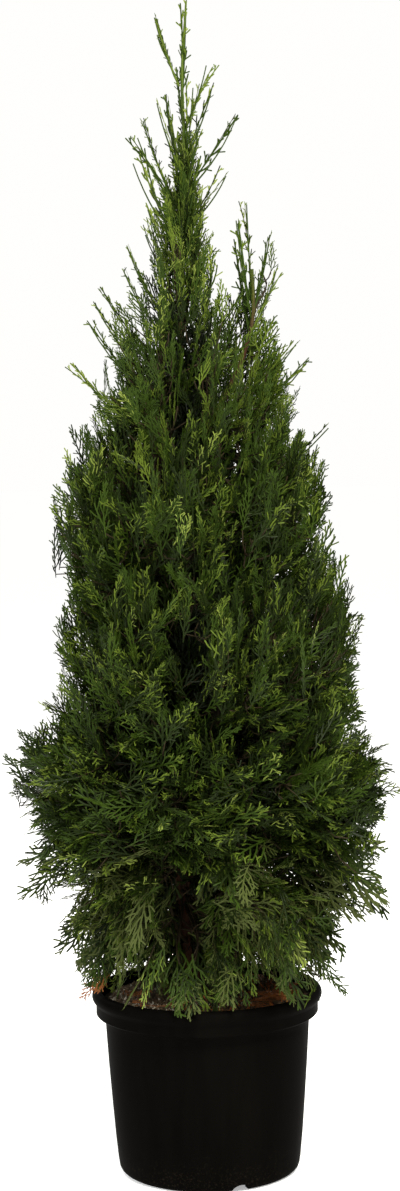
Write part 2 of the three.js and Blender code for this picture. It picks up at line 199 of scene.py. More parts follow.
def barrel_faces(rings, sides):
    """Triangles between rings of points, closed by the foot and head points that follow the rings."""
    k = np.arange(sides)
    after = (k + 1) % sides
    faces = []
    for low in np.arange(rings - 1) * sides:
        high = low + sides
        faces += [
            np.stack([low + k, low + after, high + after], 1),
            np.stack([low + k, high + after, high + k], 1),
        ]
    foot, head, top = rings * sides, rings * sides + 1, (rings - 1) * sides
    faces += [
        np.stack([np.full(sides, foot), after, k], 1),
        np.stack([np.full(sides, head), top + k, top + after], 1),
    ]
    return np.concatenate(faces)


def tubes(paths, radii, sides, relief=None):
    """Closed tubes along paths that have the same number of stations: points and triangles."""
    paths, radii = np.asarray(paths, float), np.asarray(radii, float)
    count, stations = radii.shape
    along = unit(np.gradient(paths, axis=1))
    whole = unit(paths[:, -1] - paths[:, 0])
    helper = np.where(np.abs(whole[:, 2:]) > 0.8, (1.0, 0.0, 0.0), (0.0, 0.0, 1.0))[:, None]
    across = unit(np.cross(along, helper))
    other = np.cross(along, across)
    turn = np.arange(sides) * math.tau / sides
    ring = np.cos(turn)[:, None] * across[:, :, None] + np.sin(turn)[:, None] * other[:, :, None]
    reach = radii[:, :, None] * (np.ones(sides) if relief is None else 1 + relief)
    rings = paths[:, :, None] + reach[..., None] * ring
    points = np.concatenate([rings.reshape(count, -1, 3), paths[:, :1], paths[:, -1:]], axis=1)
    bases = np.arange(count) * points.shape[1]
    faces = barrel_faces(stations, sides)[None] + bases[:, None, None]
    return points.reshape(-1, 3), faces.reshape(-1, 3)


def lathe(profile, segments):
    """A closed shell turned about Z from a profile that starts and ends on the axis."""
    profile = np.asarray(profile, float)
    turn = np.arange(segments) * math.tau / segments
    radii, heights = profile[1:-1, :1], profile[1:-1, 1:]
    rings = np.stack([radii * np.cos(turn), radii * np.sin(turn), np.repeat(heights, segments, 1)], axis=-1)
    points = np.concatenate([rings.reshape(-1, 3), [(0, 0, profile[0][1])], [(0, 0, profile[-1][1])]])
    return points, barrel_faces(len(radii), segments)


# ---------------------------------------------------------------- finishes


def feed(tree, socket, value):
    """Sets an input of a node, or links it to the value where that is another node's output."""
    if isinstance(value, bpy.types.NodeSocket):
        tree.links.new(value, socket)
    else:
        socket.default_value = value


def add_node(tree, kind, inputs, **properties):
    """A new node with its properties set and its inputs fed: the node's outputs."""
    node = tree.nodes.new(kind)
    for name, value in properties.items():
        setattr(node, name, value)
    for place, value in inputs.items():
        feed(tree, node.inputs[place], value)
    return node.outputs


def calculate(tree, operation, *values):
    """The result of a Math node on outputs and numbers."""
    return add_node(tree, "ShaderNodeMath", dict(enumerate(values)), operation=operation)[0]


def opaque(colour):
    """A colour with its alpha; a node's output stays as it is."""
    return colour if isinstance(colour, bpy.types.NodeSocket) else (*colour, 1.0)


def scaled(colour, factor):
    """A darker or lighter form of a colour."""
    return [min(1.0, c * factor) for c in colour]


def shared_group(name, inputs, outputs):
    """An empty shader group, what it is given and where its results go; an input is a number or a vector."""
    group = bpy.data.node_groups.new(name, "ShaderNodeTree")
    for socket, default in inputs.items():
        kind = "NodeSocketFloat" if isinstance(default, float) else "NodeSocketVector"
        made = group.interface.new_socket(socket, in_out="INPUT", socket_type=kind)
        if default is not None:
            made.default_value = default
    for socket in outputs:
        group.interface.new_socket(socket, in_out="OUTPUT", socket_type="NodeSocketFloat")
    return group, group.nodes.new("NodeGroupInput").outputs, group.nodes.new("NodeGroupOutput").inputs


def grain_group():
    """Noise at two scales on stretched coordinates: Coarse, Fine and a Height of both."""
    name = "grain"
    if name in bpy.data.node_groups:
        return bpy.data.node_groups[name]
    inputs = {"Vector": None, "Stretch": (1.0, 1.0, 1.0), "Scale": 60.0, "Fine Scale": 600.0}
    group, given, result = shared_group(name, inputs, ("Coarse", "Fine", "Height"))
    stretched = {0: given["Vector"], 1: given["Stretch"]}
    place = add_node(group, "ShaderNodeVectorMath", stretched, operation="MULTIPLY")[0]
    noises = []
    for scale, detail in (("Scale", 5.0), ("Fine Scale", 3.0)):
        settings = {"Vector": place, "Scale": given[scale], "Detail": detail, "Roughness": 0.6}
        noises.append(add_node(group, "ShaderNodeTexNoise", settings)["Fac"])
    coarse, fine = noises
    height = calculate(group, "MULTIPLY_ADD", fine, 0.35, coarse)
    for socket, value in (("Coarse", coarse), ("Fine", fine), ("Height", height)):
        feed(group, result[socket], value)
    return group


def band_group():
    """A mask that rises between two heights, broken up by a noise value."""
    name = "height_band"
    if name in bpy.data.node_groups:
        return bpy.data.node_groups[name]
    inputs = {"Vector": None, "Noise": 0.5, "From": 0.0, "To": 1.0, "Break Up": 0.02}
    group, given, result = shared_group(name, inputs, ("Mask",))
    height = add_node(group, "ShaderNodeSeparateXYZ", {0: given["Vector"]})["Z"]
    centred = calculate(group, "SUBTRACT", given["Noise"], 0.5)
    shifted = calculate(group, "MULTIPLY_ADD", centred, given["Break Up"], height)
    ends = {"Value": shifted, "From Min": given["From"], "From Max": given["To"]}
    ramp = add_node(group, "ShaderNodeMapRange", ends, interpolation_type="SMOOTHSTEP")
    feed(group, result["Mask"], ramp["Result"])
    return group


class Finish:
    """A Principled material and short ways to wire masks, colours and bumps to it."""

    def __init__(self, name, roughness, specular):
        self.material = bpy.data.materials.new(name)
        self.material.use_nodes = True
        self.tree = self.material.node_tree
        self.shader = self.tree.nodes["Principled BSDF"]
        self.set("Roughness", roughness)
        self.set("Specular IOR Level", specular)
        self.coordinates = None

    def set(self, socket, value):
        """Sets or links an input of the shader."""
        feed(self.tree, self.shader.inputs[socket], value)

    def shared(self, group, values):
        """The outputs of a shared group, placed here on the piece's own coordinates."""
        if self.coordinates is None:
            self.coordinates = add_node(self.tree, "ShaderNodeTexCoord", {})["Object"]
        values = {"Vector": self.coordinates, **values}
        return add_node(self.tree, "ShaderNodeGroup", values, node_tree=group)

    def grain(self, scale, fine, stretch=(1.0, 1.0, 1.0)):
        """Coarse and fine noise, and a height of both."""
        return self.shared(grain_group(), {"Stretch": stretch, "Scale": scale, "Fine Scale": fine})

    def band(self, noise, low, high, break_up):
        """A mask that rises between two heights in metres."""
        values = {"Noise": noise, "From": low, "To": high, "Break Up": break_up}
        return self.shared(band_group(), values)["Mask"]

    def spread(self, value, low, high, out_low=0.0, out_high=1.0):
        """A value carried from one range to another."""
        ends = {"Value": value, "From Min": low, "From Max": high, "To Min": out_low, "To Max": out_high}
        return add_node(self.tree, "ShaderNodeMapRange", ends)["Result"]

    def mix(self, mask, a, b):
        """Colour a where the mask is 0 and b where it is 1; each is a colour or a node's output."""
        parts = {0: mask, 6: opaque(a), 7: opaque(b)}
        return add_node(self.tree, "ShaderNodeMix", parts, data_type="RGBA")[2]

    def paint(self, colour):
        """The base colour: a colour or a node's output."""
        self.set("Base Color", opaque(colour))

    def bump(self, height, strength, distance):
        """Fine relief from a height value, as deep as the distance in metres."""
        relief = {"Strength": strength, "Distance": distance, "Height": height}
        self.set("Normal", add_node(self.tree, "ShaderNodeBump", relief)["Normal"])


def plastic_finish(settings):
    """Satin black plastic with faint vertical flow marks and dried splashes at the foot."""
    finish = Finish("pot_plastic", 0.5, 0.022)
    finish.set("IOR", 1.15)
    flow = finish.grain(26.0, 900.0, (1.0, 1.0, 0.12))
    splash = finish.grain(48.0, 420.0)
    low = finish.band(splash["Coarse"], 0.045, 0.0, 0.10)
    speck = finish.spread(splash["Fine"], 0.54, 0.72, 0.0, 0.55)
    streak = finish.spread(flow["Coarse"], 0.3, 0.7)
    streaked = finish.mix(streak, scaled(settings.plastic, 0.75), scaled(settings.plastic, 1.35))
    finish.paint(finish.mix(calculate(finish.tree, "MULTIPLY", low, speck), streaked, settings.dust))
    finish.set("Roughness", finish.spread(flow["Height"], 0.4, 0.95, 0.40, 0.56))
    finish.bump(flow["Fine"], 0.12, 0.0004)
    return finish.material


def peat_finish(settings):
    """Dark peat that lightens on its raised grains."""
    finish = Finish("peat", 0.95, 0.15)
    grain = finish.grain(120.0, 900.0)
    finish.paint(finish.mix(finish.spread(grain["Height"], 0.45, 0.9), settings.peat, settings.crumb))
    finish.bump(grain["Height"], 0.8, 0.0015)
    return finish.material


def mottled_finish(name, colour, roughness, scales, contrast, shades, bump):
    """One colour in darker and lighter patches, with a fine unevenness."""
    finish = Finish(name, roughness, 0.2)
    grain = finish.grain(*scales)
    dark, light = (scaled(colour, shade) for shade in shades)
    finish.paint(finish.mix(finish.spread(grain["Coarse"], *contrast), dark, light))
    finish.bump(grain["Fine"], *bump)
    return finish.material


def crumb_finish(name, colour):
    """Dry and uneven, for the loose bits on the mix."""
    return mottled_finish(name, colour, 0.9, (85.0, 1400.0), (0.32, 0.68), (0.45, 1.5), (0.5, 0.0004))


def twig_finish(settings):
    """Thin bark, between brown and green."""
    colour = [0.26 * a + 0.4 * b for a, b in zip(settings.bark, settings.deep)]
    return mottled_finish("twig_bark", colour, 0.8, (240.0, 1200.0), (0.35, 0.65), (0.6, 1.25), (0.4, 0.0003))


def bark_finish(settings):
    """Fibrous strips that run up the limb, turning green where the leader is this year's growth."""
    finish = Finish("bark", 0.85, 0.2)
    strips = finish.grain(190.0, 900.0, (1.0, 1.0, 0.09))
    brown = finish.mix(finish.spread(strips["Height"], 0.46, 0.82), settings.bark_crack, settings.bark)
    green = finish.band(strips["Coarse"], 0.92, 1.04, 0.08)
    young = finish.mix(finish.spread(strips["Height"], 0.5, 0.8), settings.middle, settings.fresh)
    finish.paint(finish.mix(green, brown, young))
    finish.bump(strips["Height"], 0.9, 0.0008)
    return finish.material


def leaf_finish(name, colour):
    """Plain green, with a fine waxy unevenness."""
    finish = Finish(name, 0.5, 0.08)
    finish.paint(colour)
    wax = finish.grain(500.0, 1800.0)
    finish.set("Roughness", finish.spread(wax["Coarse"], 0.3, 0.7, 0.40, 0.58))
    finish.bump(wax["Coarse"], 0.35, 0.0006)
    return finish.material


# ---------------------------------------------------------------- pot


WALL_THICKNESS = 2.2  # mm
NOTCH_SPAN = (0.078, 0.108)  # from inside the foot ring to outside the wall, in metres
NOTCH_ROUND = 0.006
NOTCH_ANGLES = (-70, 50, 170)


def arc(centre, radius, start, end, steps):
    """Points (radius, height) on an arc, with its angles in degrees."""
    angles = [math.radians(a) for a in np.linspace(start, end, steps)]
    return [(centre[0] + radius * math.cos(a), centre[1] + radius * math.sin(a)) for a in angles]


def pot_profile():
    """Half section of the pot, drawn in mm: foot ring, tapered wall, stepped collar and rolled lip."""
    wall = [(102.5, 9.0), (103.4, 14.0), (106.0, 40.0), (109.2, 80.0)]
    wall += [(112.4, 124.0), (115.0, 166.0), (115.5, 174.5)]
    outer = [(0, 0), (24, 0), (26, 0.8), (29, 9), (82.5, 9), (84.3, 7.5), (85.5, 0.6), (86.3, 0), (92.8, 0)]
    outer += arc((93.5, 9.0), 9.0, -84, -4, 9)
    outer += wall
    outer += [(116.3, 176.2), (119.5, 177.6), (124.4, 179.3), (125.5, 180.6), (125.5, 190.6), (126.2, 192.4)]
    outer += arc((122.0, 200.0), 8.0, -35, 90, 15)
    inner = [(120.9, 207.2), (120.3, 205.0), (119.5, 190.0), (119.3, 180.0), (113.3, 173.5)]
    inner += [(radius - WALL_THICKNESS, height) for radius, height in reversed(wall[1:-1])]
    return [(r * MM, z * MM) for r, z in outer + inner + [(98.0, 11.5), (0, 11.5)]]


def notch_tool(settings, degrees):
    """A round-topped bar that cuts one drainage notch through the foot ring."""
    half, top = settings.notch_width / 2, settings.notch_height - NOTCH_ROUND
    outline = [(-half, -0.004), (half, -0.004)]
    for a in np.linspace(0, math.pi, 11):
        outline.append((half * math.cos(a), top + NOTCH_ROUND * math.sin(a)))
    count = len(outline)
    points = [(r, x, z) for r in NOTCH_SPAN for x, z in outline]
    faces = [(0, i + 1, i) for i in range(1, count - 1)]
    faces += [(count, count + i, count + i + 1) for i in range(1, count - 1)]
    for i in range(count):
        j = (i + 1) % count
        faces += [(i, j, count + j), (i, count + j, count + i)]
    turn = np.array(Matrix.Rotation(math.radians(degrees), 3, "Z"))
    return add_mesh("notch_tool", np.array(points) @ turn.T, faces)


def evaluated_mesh(piece, name):
    """The piece's mesh with its modifiers, as a plain mesh."""
    bpy.context.view_layer.update()
    graph = bpy.context.evaluated_depsgraph_get()
    mesh = bpy.data.meshes.new_from_object(piece.evaluated_get(graph))
    mesh.name = name
    return mesh


class THUJA_OT_pot(bpy.types.Operator):
    """Turn the nursery pot, cut its drainage notches and give it its satin plastic"""

    bl_idname = "thuja.pot"
    bl_label = "Pot"

    def execute(self, context):
        settings = context.scene.thuja_pot
        pot = add_mesh("nursery_pot", *lathe(pot_profile(), settings.segments), smooth=True)
        tools = [notch_tool(settings, degrees) for degrees in NOTCH_ANGLES]
        for tool in tools:
            cut = pot.modifiers.new("notch", "BOOLEAN")
            cut.object, cut.operation, cut.solver = tool, "DIFFERENCE", "EXACT"
        mesh = evaluated_mesh(pot, "nursery_pot")
        pot.modifiers.clear()
        pot.data = mesh
        for tool in tools:
            bpy.data.objects.remove(tool)
        mesh.set_sharp_from_angle(angle=math.radians(32))
        settle(pot, plastic_finish(settings), ["pot"])
        return {"FINISHED"}


# ---------------------------------------------------------------- potting mix


def loose_bits_tree():
    """Geometry nodes that strew one kind of bit over a surface, turned and sized at random."""
    tree = bpy.data.node_groups.new("loose_bits", "GeometryNodeTree")
    inputs = (
        ("Geometry", "NodeSocketGeometry"),
        ("Bit", "NodeSocketObject"),
        ("Finish", "NodeSocketMaterial"),
        ("Amount", "NodeSocketString"),
        ("Density", "NodeSocketFloat"),
        ("Smallest", "NodeSocketFloat"),
        ("Largest", "NodeSocketFloat"),
        ("Seed", "NodeSocketInt"),
    )
    for name, kind in inputs:
        tree.interface.new_socket(name, in_out="INPUT", socket_type=kind)
    tree.interface.new_socket("Geometry", in_out="OUTPUT", socket_type="NodeSocketGeometry")
    given = tree.nodes.new("NodeGroupInput").outputs
    result = tree.nodes.new("NodeGroupOutput").inputs
    amount = add_node(tree, "GeometryNodeInputNamedAttribute", {"Name": given["Amount"]}, data_type="FLOAT")
    density = calculate(tree, "MULTIPLY", amount["Attribute"], given["Density"])
    strewn = {"Mesh": given["Geometry"], "Density": density, "Seed": given["Seed"]}
    points = add_node(tree, "GeometryNodeDistributePointsOnFaces", strewn)["Points"]
    bit = add_node(tree, "GeometryNodeObjectInfo", {"Object": given["Bit"]})["Geometry"]
    limits = {"Max": (math.tau,) * 3, "Seed": given["Seed"]}
    turn = add_node(tree, "FunctionNodeRandomValue", limits, data_type="FLOAT_VECTOR")["Value"]
    size = tree.nodes.new("FunctionNodeRandomValue")
    size.data_type = "FLOAT"
    least, most = [socket for socket in size.inputs if socket.enabled][:2]
    for socket, name in ((least, "Smallest"), (most, "Largest"), (size.inputs["Seed"], "Seed")):
        feed(tree, socket, given[name])
    scale = [socket for socket in size.outputs if socket.enabled][0]
    placed = {"Points": points, "Instance": bit, "Rotation": turn, "Scale": scale}
    bits = add_node(tree, "GeometryNodeInstanceOnPoints", placed)["Instances"]
    real = add_node(tree, "GeometryNodeRealizeInstances", {"Geometry": bits})["Geometry"]
    dressed = add_node(tree, "GeometryNodeSetMaterial", {"Geometry": real, "Material": given["Finish"]})
    feed(tree, result["Geometry"], dressed["Geometry"])
    return tree


def bit_shape(name, rng, stretch):
    """An uneven lump about one unit across before its stretch, the pattern for a loose bit."""
    golden = (1 + 5**0.5) / 2
    points = unit(np.array([(0, a, b * golden) for a in (-1, 1) for b in (-1, 1)], float))
    points = np.concatenate([points, np.roll(points, 1, 1), np.roll(points, 2, 1)])
    points = points * (0.36 + 0.16 * rng.random((12, 1))) * stretch
    cloud = bpy.data.meshes.new(name)
    cloud.from_pydata([tuple(p) for p in points], [], [])
    form = bmesh.new()
    form.from_mesh(cloud)
    bmesh.ops.convex_hull(form, input=form.verts)
    form.to_mesh(cloud)
    form.free()
    return bpy.data.objects.new(name, cloud)


def soil_height(x, y, phases):
    """Height of the mix over its level, in metres: a low swell with crumbly unevenness."""
    height = np.zeros_like(x)
    for i, (heading, first, second) in enumerate(phases):
        scale = 55 * 1.5**i
        along = x * math.cos(heading) + y * math.sin(heading)
        aside = y * math.cos(heading) - x * math.sin(heading)
        waves = np.sin(scale * along + first) * np.cos(scale * aside * 0.9 + second)
        height += waves * 0.0016 / 1.32**i
    return height


# kind of loose bit: its piece, colour, share of the density, smallest and largest in mm,
# and length, width and thickness as shares of that
LOOSE_BITS = {
    "crumbs": ("bark_crumbs", "crumb", 1.0, 2.0, 6.0, (1.5, 0.85, 0.55)),
    "grit": ("pale_grit", "grit", 0.46, 1.8, 5.2, (1.5, 0.7, 0.5)),
    "litter": ("leaf_litter", "litter", 0.45, 3.5, 10.0, (1.9, 0.32, 0.14)),
}


class THUJA_OT_mix(bpy.types.Operator):
    """Lay the peat and strew it with bark crumbs, grit and fallen leaves"""

    bl_idname = "thuja.mix"
    bl_label = "Potting mix"

    def execute(self, context):
        settings = context.scene.thuja_mix
        rng = np.random.default_rng(5)
        low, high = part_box("soil")
        phases = rng.random((9, 3)) * math.tau
        edge, level = high.x - 0.0006, high.z - 0.0024
        radii = np.concatenate([np.linspace(0.0015, edge - 0.004, 62), [edge - 0.002, edge]])
        swell = 0.0022 * (1 - (radii / edge) ** 2)
        profile = [(0, low.z + 0.001), (0.085, low.z + 0.001), (edge - 0.014, 0.10), (edge - 0.0015, 0.178)]
        profile += [(r, level + s) for r, s in zip(radii[::-1], swell[::-1])] + [(0, level + 0.0022)]
        points, faces = lathe(profile, 168)
        top = points[:, 2] > level - 0.0005
        from_wall = edge - np.hypot(points[:, 0], points[:, 1])
        inside = np.clip(from_wall / 0.008, 0, 1)
        points[:, 2] += top * inside * soil_height(points[:, 0], points[:, 1], phases)
        peat = add_mesh("peat", points, faces, smooth=True)
        x, y = points[:, 0] / edge, points[:, 1] / edge
        patchy = np.clip(0.6 + 900 * soil_height(y * edge, x * edge, phases), 0.15, 1.6)
        amounts = {
            "crumbs": top * (from_wall > 0.005),
            "grit": top * (from_wall > 0.006) * np.clip(0.25 - 0.75 * x - 0.9 * y, 0.08, 1.6) * patchy,
            "litter": top * (from_wall > 0.014) * np.clip(0.25 + 1.0 * x - 0.2 * y, 0.06, 1.4) * patchy,
        }
        for name, values in amounts.items():
            amount = peat.data.attributes.new(name, "FLOAT", "POINT")
            amount.data.foreach_set("value", values.astype(np.float32))
        tree = loose_bits_tree()
        for seed, kind in enumerate(LOOSE_BITS, 1):
            self.strew(kind, peat.data, tree, seed, settings, rng)
        settle(peat, peat_finish(settings), ["soil"])
        return {"FINISHED"}

    def strew(self, kind, ground, tree, seed, settings, rng):
        """One kind of loose bit on the ground mesh, as a piece of its own."""
        name, colour, share, smallest, largest, stretch = LOOSE_BITS[kind]
        bit = bit_shape(name + "_pattern", rng, np.array(stretch))
        finish = crumb_finish(name, getattr(settings, colour))
        bits = bpy.data.objects.new(name, ground)
        bpy.context.scene.collection.objects.link(bits)
        strewn = bits.modifiers.new("loose_bits", "NODES")
        strewn.node_group = tree
        values = {
            "Bit": bit,
            "Finish": finish,
            "Amount": kind,
            "Density": settings.crumb_density * share,
            "Smallest": smallest * MM,
            "Largest": largest * MM,
            "Seed": seed,
        }
        for item in tree.interface.items_tree:
            if item.in_out == "INPUT" and item.name in values:
                strewn[item.identifier] = values[item.name]
        mesh = evaluated_mesh(bits, name)
        bits.modifiers.clear()
        bits.data = mesh
        bpy.data.objects.remove(bit)
        settle(bits, finish, ["soil"])


# ---------------------------------------------------------------- limbs

RING_GAP = 2.0 * MM
TRUNK_FOOT = np.array([*((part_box("trunk")[0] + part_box("trunk")[1]) / 2)[:2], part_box("trunk")[0].z])


def limb_line(node):
    """Centres and radii of the rings of a limb's own solid, foot first, as rows x, y, z, radius."""
    mesh = NODES[node].data
    points = np.empty(len(mesh.vertices) * 3)
    mesh.vertices.foreach_get("co", points)
    points = np.unique(points.reshape(-1, 3).round(5), axis=0)
    centred = points - points.mean(0)
    axis = np.linalg.svd(centred, full_matrices=False)[2][0]
    along = centred @ axis
    order = np.argsort(along)
    breaks = np.flatnonzero(np.diff(along[order]) > RING_GAP) + 1
    rings = [ring for ring in np.split(points[order], breaks) if len(ring) > 3]
    if len(rings) < 3:
        rings = np.array_split(points[order], 5)
    rows = []
    for ring in rings:
        centre = ring.mean(0)
        off = ring - centre
        off -= (off @ axis)[:, None] * axis
        rows.append((*centre, np.median(np.linalg.norm(off, axis=1))))
    rows = np.array(rows)
    from_foot = np.linalg.norm(rows[:, :3] - TRUNK_FOOT, axis=1)
    if from_foot[0] > from_foot[-1]:
        rows = rows[::-1].copy()
    rows[:, 3] = np.minimum.accumulate(rows[:, 3])
    return rows


TRUNK = limb_line("trunk")


def trunk_axis(height):
    """Where the middle of the trunk is at these heights."""
    height = np.asarray(height, float)
    return np.stack([np.interp(height, TRUNK[:, 2], TRUNK[:, i]) for i in (0, 1)] + [height], axis=-1)


def bark_tube(line, stations, sides, rng, depth):
    """A limb with wandering strips of bark and a few knots."""
    rows = through(line, stations)
    turn = np.arange(sides) * math.tau / sides
    reach = np.concatenate([[0], np.cumsum(np.linalg.norm(np.diff(rows[:, :3], axis=0), axis=1))])
    relief = np.zeros((stations, sides))
    for waves in (2, 3, 5, 7, 9, 11):
        start, slow, quick = rng.random(3) * math.tau
        wander = 1.6 * np.sin(reach / (0.016 + 0.012 * rng.random()) + slow)
        wander += 0.7 * np.sin(reach / 0.006 + quick)
        relief += np.sin(waves * turn + start + wander[:, None]) / waves**0.55
    relief = depth * (np.abs(relief) ** 0.7 * np.sign(relief))
    for _ in range(max(3, stations // 22)):
        at, side = rng.random() * reach[-1], rng.random() * math.tau
        swell = np.exp(-(((reach - at) / 0.0045) ** 2))[:, None] * np.clip(np.cos(turn - side), 0, 1) ** 4
        relief += 0.35 * swell
    return tubes(rows[None, :, :3], rows[None, :, 3], sides, relief[None])


class THUJA_OT_bark(bpy.types.Operator):
    """Give the trunk, the boughs and the leaders their fibrous bark"""

    bl_idname = "thuja.bark"
    bl_label = "Bark"

    def execute(self, context):
        settings = context.scene.thuja_crown
        rng = np.random.default_rng(settings.seed)
        finish = bark_finish(settings)
        limbs = (
            ("trunk_bark", ["trunk"], 300, 30, 0.055),
            ("bough_bark", sorted(n for n in NODES if n.startswith("bough_")), 44, 14, 0.05),
            ("leader_bark", ["second_leader", "side_leader"], 70, 10, 0.04),
        )
        for name, nodes, stations, sides, depth in limbs:
            parts = [bark_tube(limb_line(node), stations, sides, rng, depth) for node in nodes]
            settle(add_mesh(name, *join_parts(parts), smooth=True), finish, nodes)
        return {"FINISHED"}


# ---------------------------------------------------------------- sprays


def run(start, heading, length, turn, stations):
    """A line in the spray's plane from start, its heading off forward turning by turn on the way."""
    angle = heading + turn * np.linspace(0, 1, stations - 1)
    steps = np.stack([np.sin(angle), np.cos(angle)], 1) * length / (stations - 1)
    return np.concatenate([[start], start + np.cumsum(steps, 0)]), angle


def strip(line, width, notch=0.0):
    """A line of flattened scale leaves: two slopes on a low ridge, with a blunt end."""
    count = len(line)
    along = np.gradient(line, axis=0)
    along /= np.maximum(np.linalg.norm(along, axis=1, keepdims=True), 1e-9)
    left = np.stack([-along[:, 1], along[:, 0]], 1)
    half = np.full(count, width / 2)
    half[0] *= 0.7
    half[1:-1:2] *= 1 + notch
    half[2:-1:2] *= 1 - notch
    half[-1] *= 0.86
    points = np.zeros((count, 3, 3))
    points[:, 0, :2] = line + left * half[:, None]
    points[:, 1, :2] = line
    points[:, 1, 2] = half * 0.55
    points[:, 2, :2] = line - left * half[:, None]
    end = np.array([(*(line[-1] + along[-1] * width * 0.55), 0.0)])
    low = np.arange(count - 1)[:, None] * 3
    quads = np.array([(0, 1, 4), (0, 4, 3), (1, 2, 5), (1, 5, 4)])
    faces = (low[:, :, None] + quads[None]).reshape(-1, 3)
    last = 3 * (count - 1)
    faces = np.concatenate([faces, [(last, last + 1, 3 * count), (last + 1, last + 2, 3 * count)]])
    return np.concatenate([points.reshape(-1, 3), end]), faces


# habit: length and spacing of the side shoots in mm, spread in degrees, reach of the shoots as a share
# of the length, one-sidedness, spacing of the branchlets in mm, girth
HABITS = {
    "plume": (62, 6.4, 24, 0.36, 0.20, 10.0, 1.0),
    "comb": (66, 6.0, 29, 0.40, 0.50, 11.0, 1.0),
    "fan": (62, 7.4, 37, 0.44, 0.10, 11.0, 1.16),
    "arch": (84, 8.2, 35, 0.46, 0.15, 11.5, 1.2),
    "wand": (100, 12.0, 25, 0.12, 0.20, 8.0, 1.1),
    "plain": (82, 8.6, 34, 0.42, 0.10, 16.0, 1.25),
}
AXIS_STATIONS = {"plain": 4, "wand": 12}


def branchlets(line, angles, shoot, length, fine, coarse, width, rng):
    """The short branchlets of one side shoot, left and right by turns, each with whether it is a tip."""
    hop, branch = rng.uniform(0.26, 0.5) * shoot + 1.5 * MM, rng.choice((-1, 1))
    while hop < shoot - 2.0 * MM and shoot > 7.0 * MM and not (coarse and shoot < 16 * MM):
        f = hop / shoot * (len(line) - 1)
        i = min(int(f), len(line) - 2)
        foot = line[i] + (line[i + 1] - line[i]) * (f - i)
        reach = min((0.52 * (shoot - hop) + 4.6 * MM) * rng.uniform(0.75, 1.2), 15 * MM)
        away = branch * math.radians(rng.uniform(28, 42))
        stations = 2 if reach < 11 * MM or coarse else 3
        leaf, _ = run(foot, angles[i] + away, reach, -away * 0.4, stations)
        is_tip = leaf[-1, 1] > length * rng.uniform(0.42, 0.7) or hop > 0.7 * shoot
        yield strip(leaf, width * rng.uniform(0.8, 0.96)), is_tip
        branch = -branch
        hop += fine * MM * rng.uniform(0.7, 1.15)


def grow_spray(habit, rng, width):
    """One flat spray with its foot at the origin and its axis along Y: the inner part and the tips, apart."""
    length, spacing, spread, reach, one_sided, fine, girth = HABITS[habit]
    length *= MM * rng.uniform(0.92, 1.08)
    width *= girth
    coarse = habit == "plain"
    axis, heading = run(np.zeros(2), 0.0, length, rng.normal(0, 0.18), AXIS_STATIONS.get(habit, 6))
    inner, tips = [strip(axis, width * 0.94, 0.22 if habit == "wand" else 0.1)], []
    distance = np.linspace(0, 1, len(axis))
    at, side = 0.10 * length, rng.choice((-1, 1))
    favoured = rng.choice((-1, 1))
    while at < 0.955 * length:
        s = at / length
        shape = (1 - s) ** 0.85 * min(1.0, 0.42 + s / 0.34)
        shoot = reach * length * shape * rng.uniform(0.78, 1.14) + 5.5 * MM
        shoot *= 1 + one_sided * side * favoured
        start = np.array([np.interp(s, distance, axis[:, i]) for i in (0, 1)])
        lean = math.radians(spread * (1.06 - 0.34 * s) + rng.normal(0, 4))
        base = np.interp(s, distance[:-1], heading) + side * lean
        stations = 2 if coarse or shoot < 9 * MM else (3 if shoot < 26 * MM else 4)
        line, angles = run(start, base, shoot, -side * lean * rng.uniform(0.3, 0.6), stations)
        outer = line[-1, 1] > length * rng.uniform(0.55, 0.8)
        long = shoot > 14 * MM
        (tips if outer and not long else inner).append(strip(line, width * (0.98 if long else 0.9), 0.1))
        for leaf, is_tip in branchlets(line, angles, shoot, length, fine, coarse, width, rng):
            (tips if is_tip else inner).append(leaf)
        side = -side
        at += spacing * MM * rng.uniform(0.8, 1.1) * (1.0 if s < 0.7 else 0.8)
    return join_parts(inner), join_parts(tips or [inner[-1]])


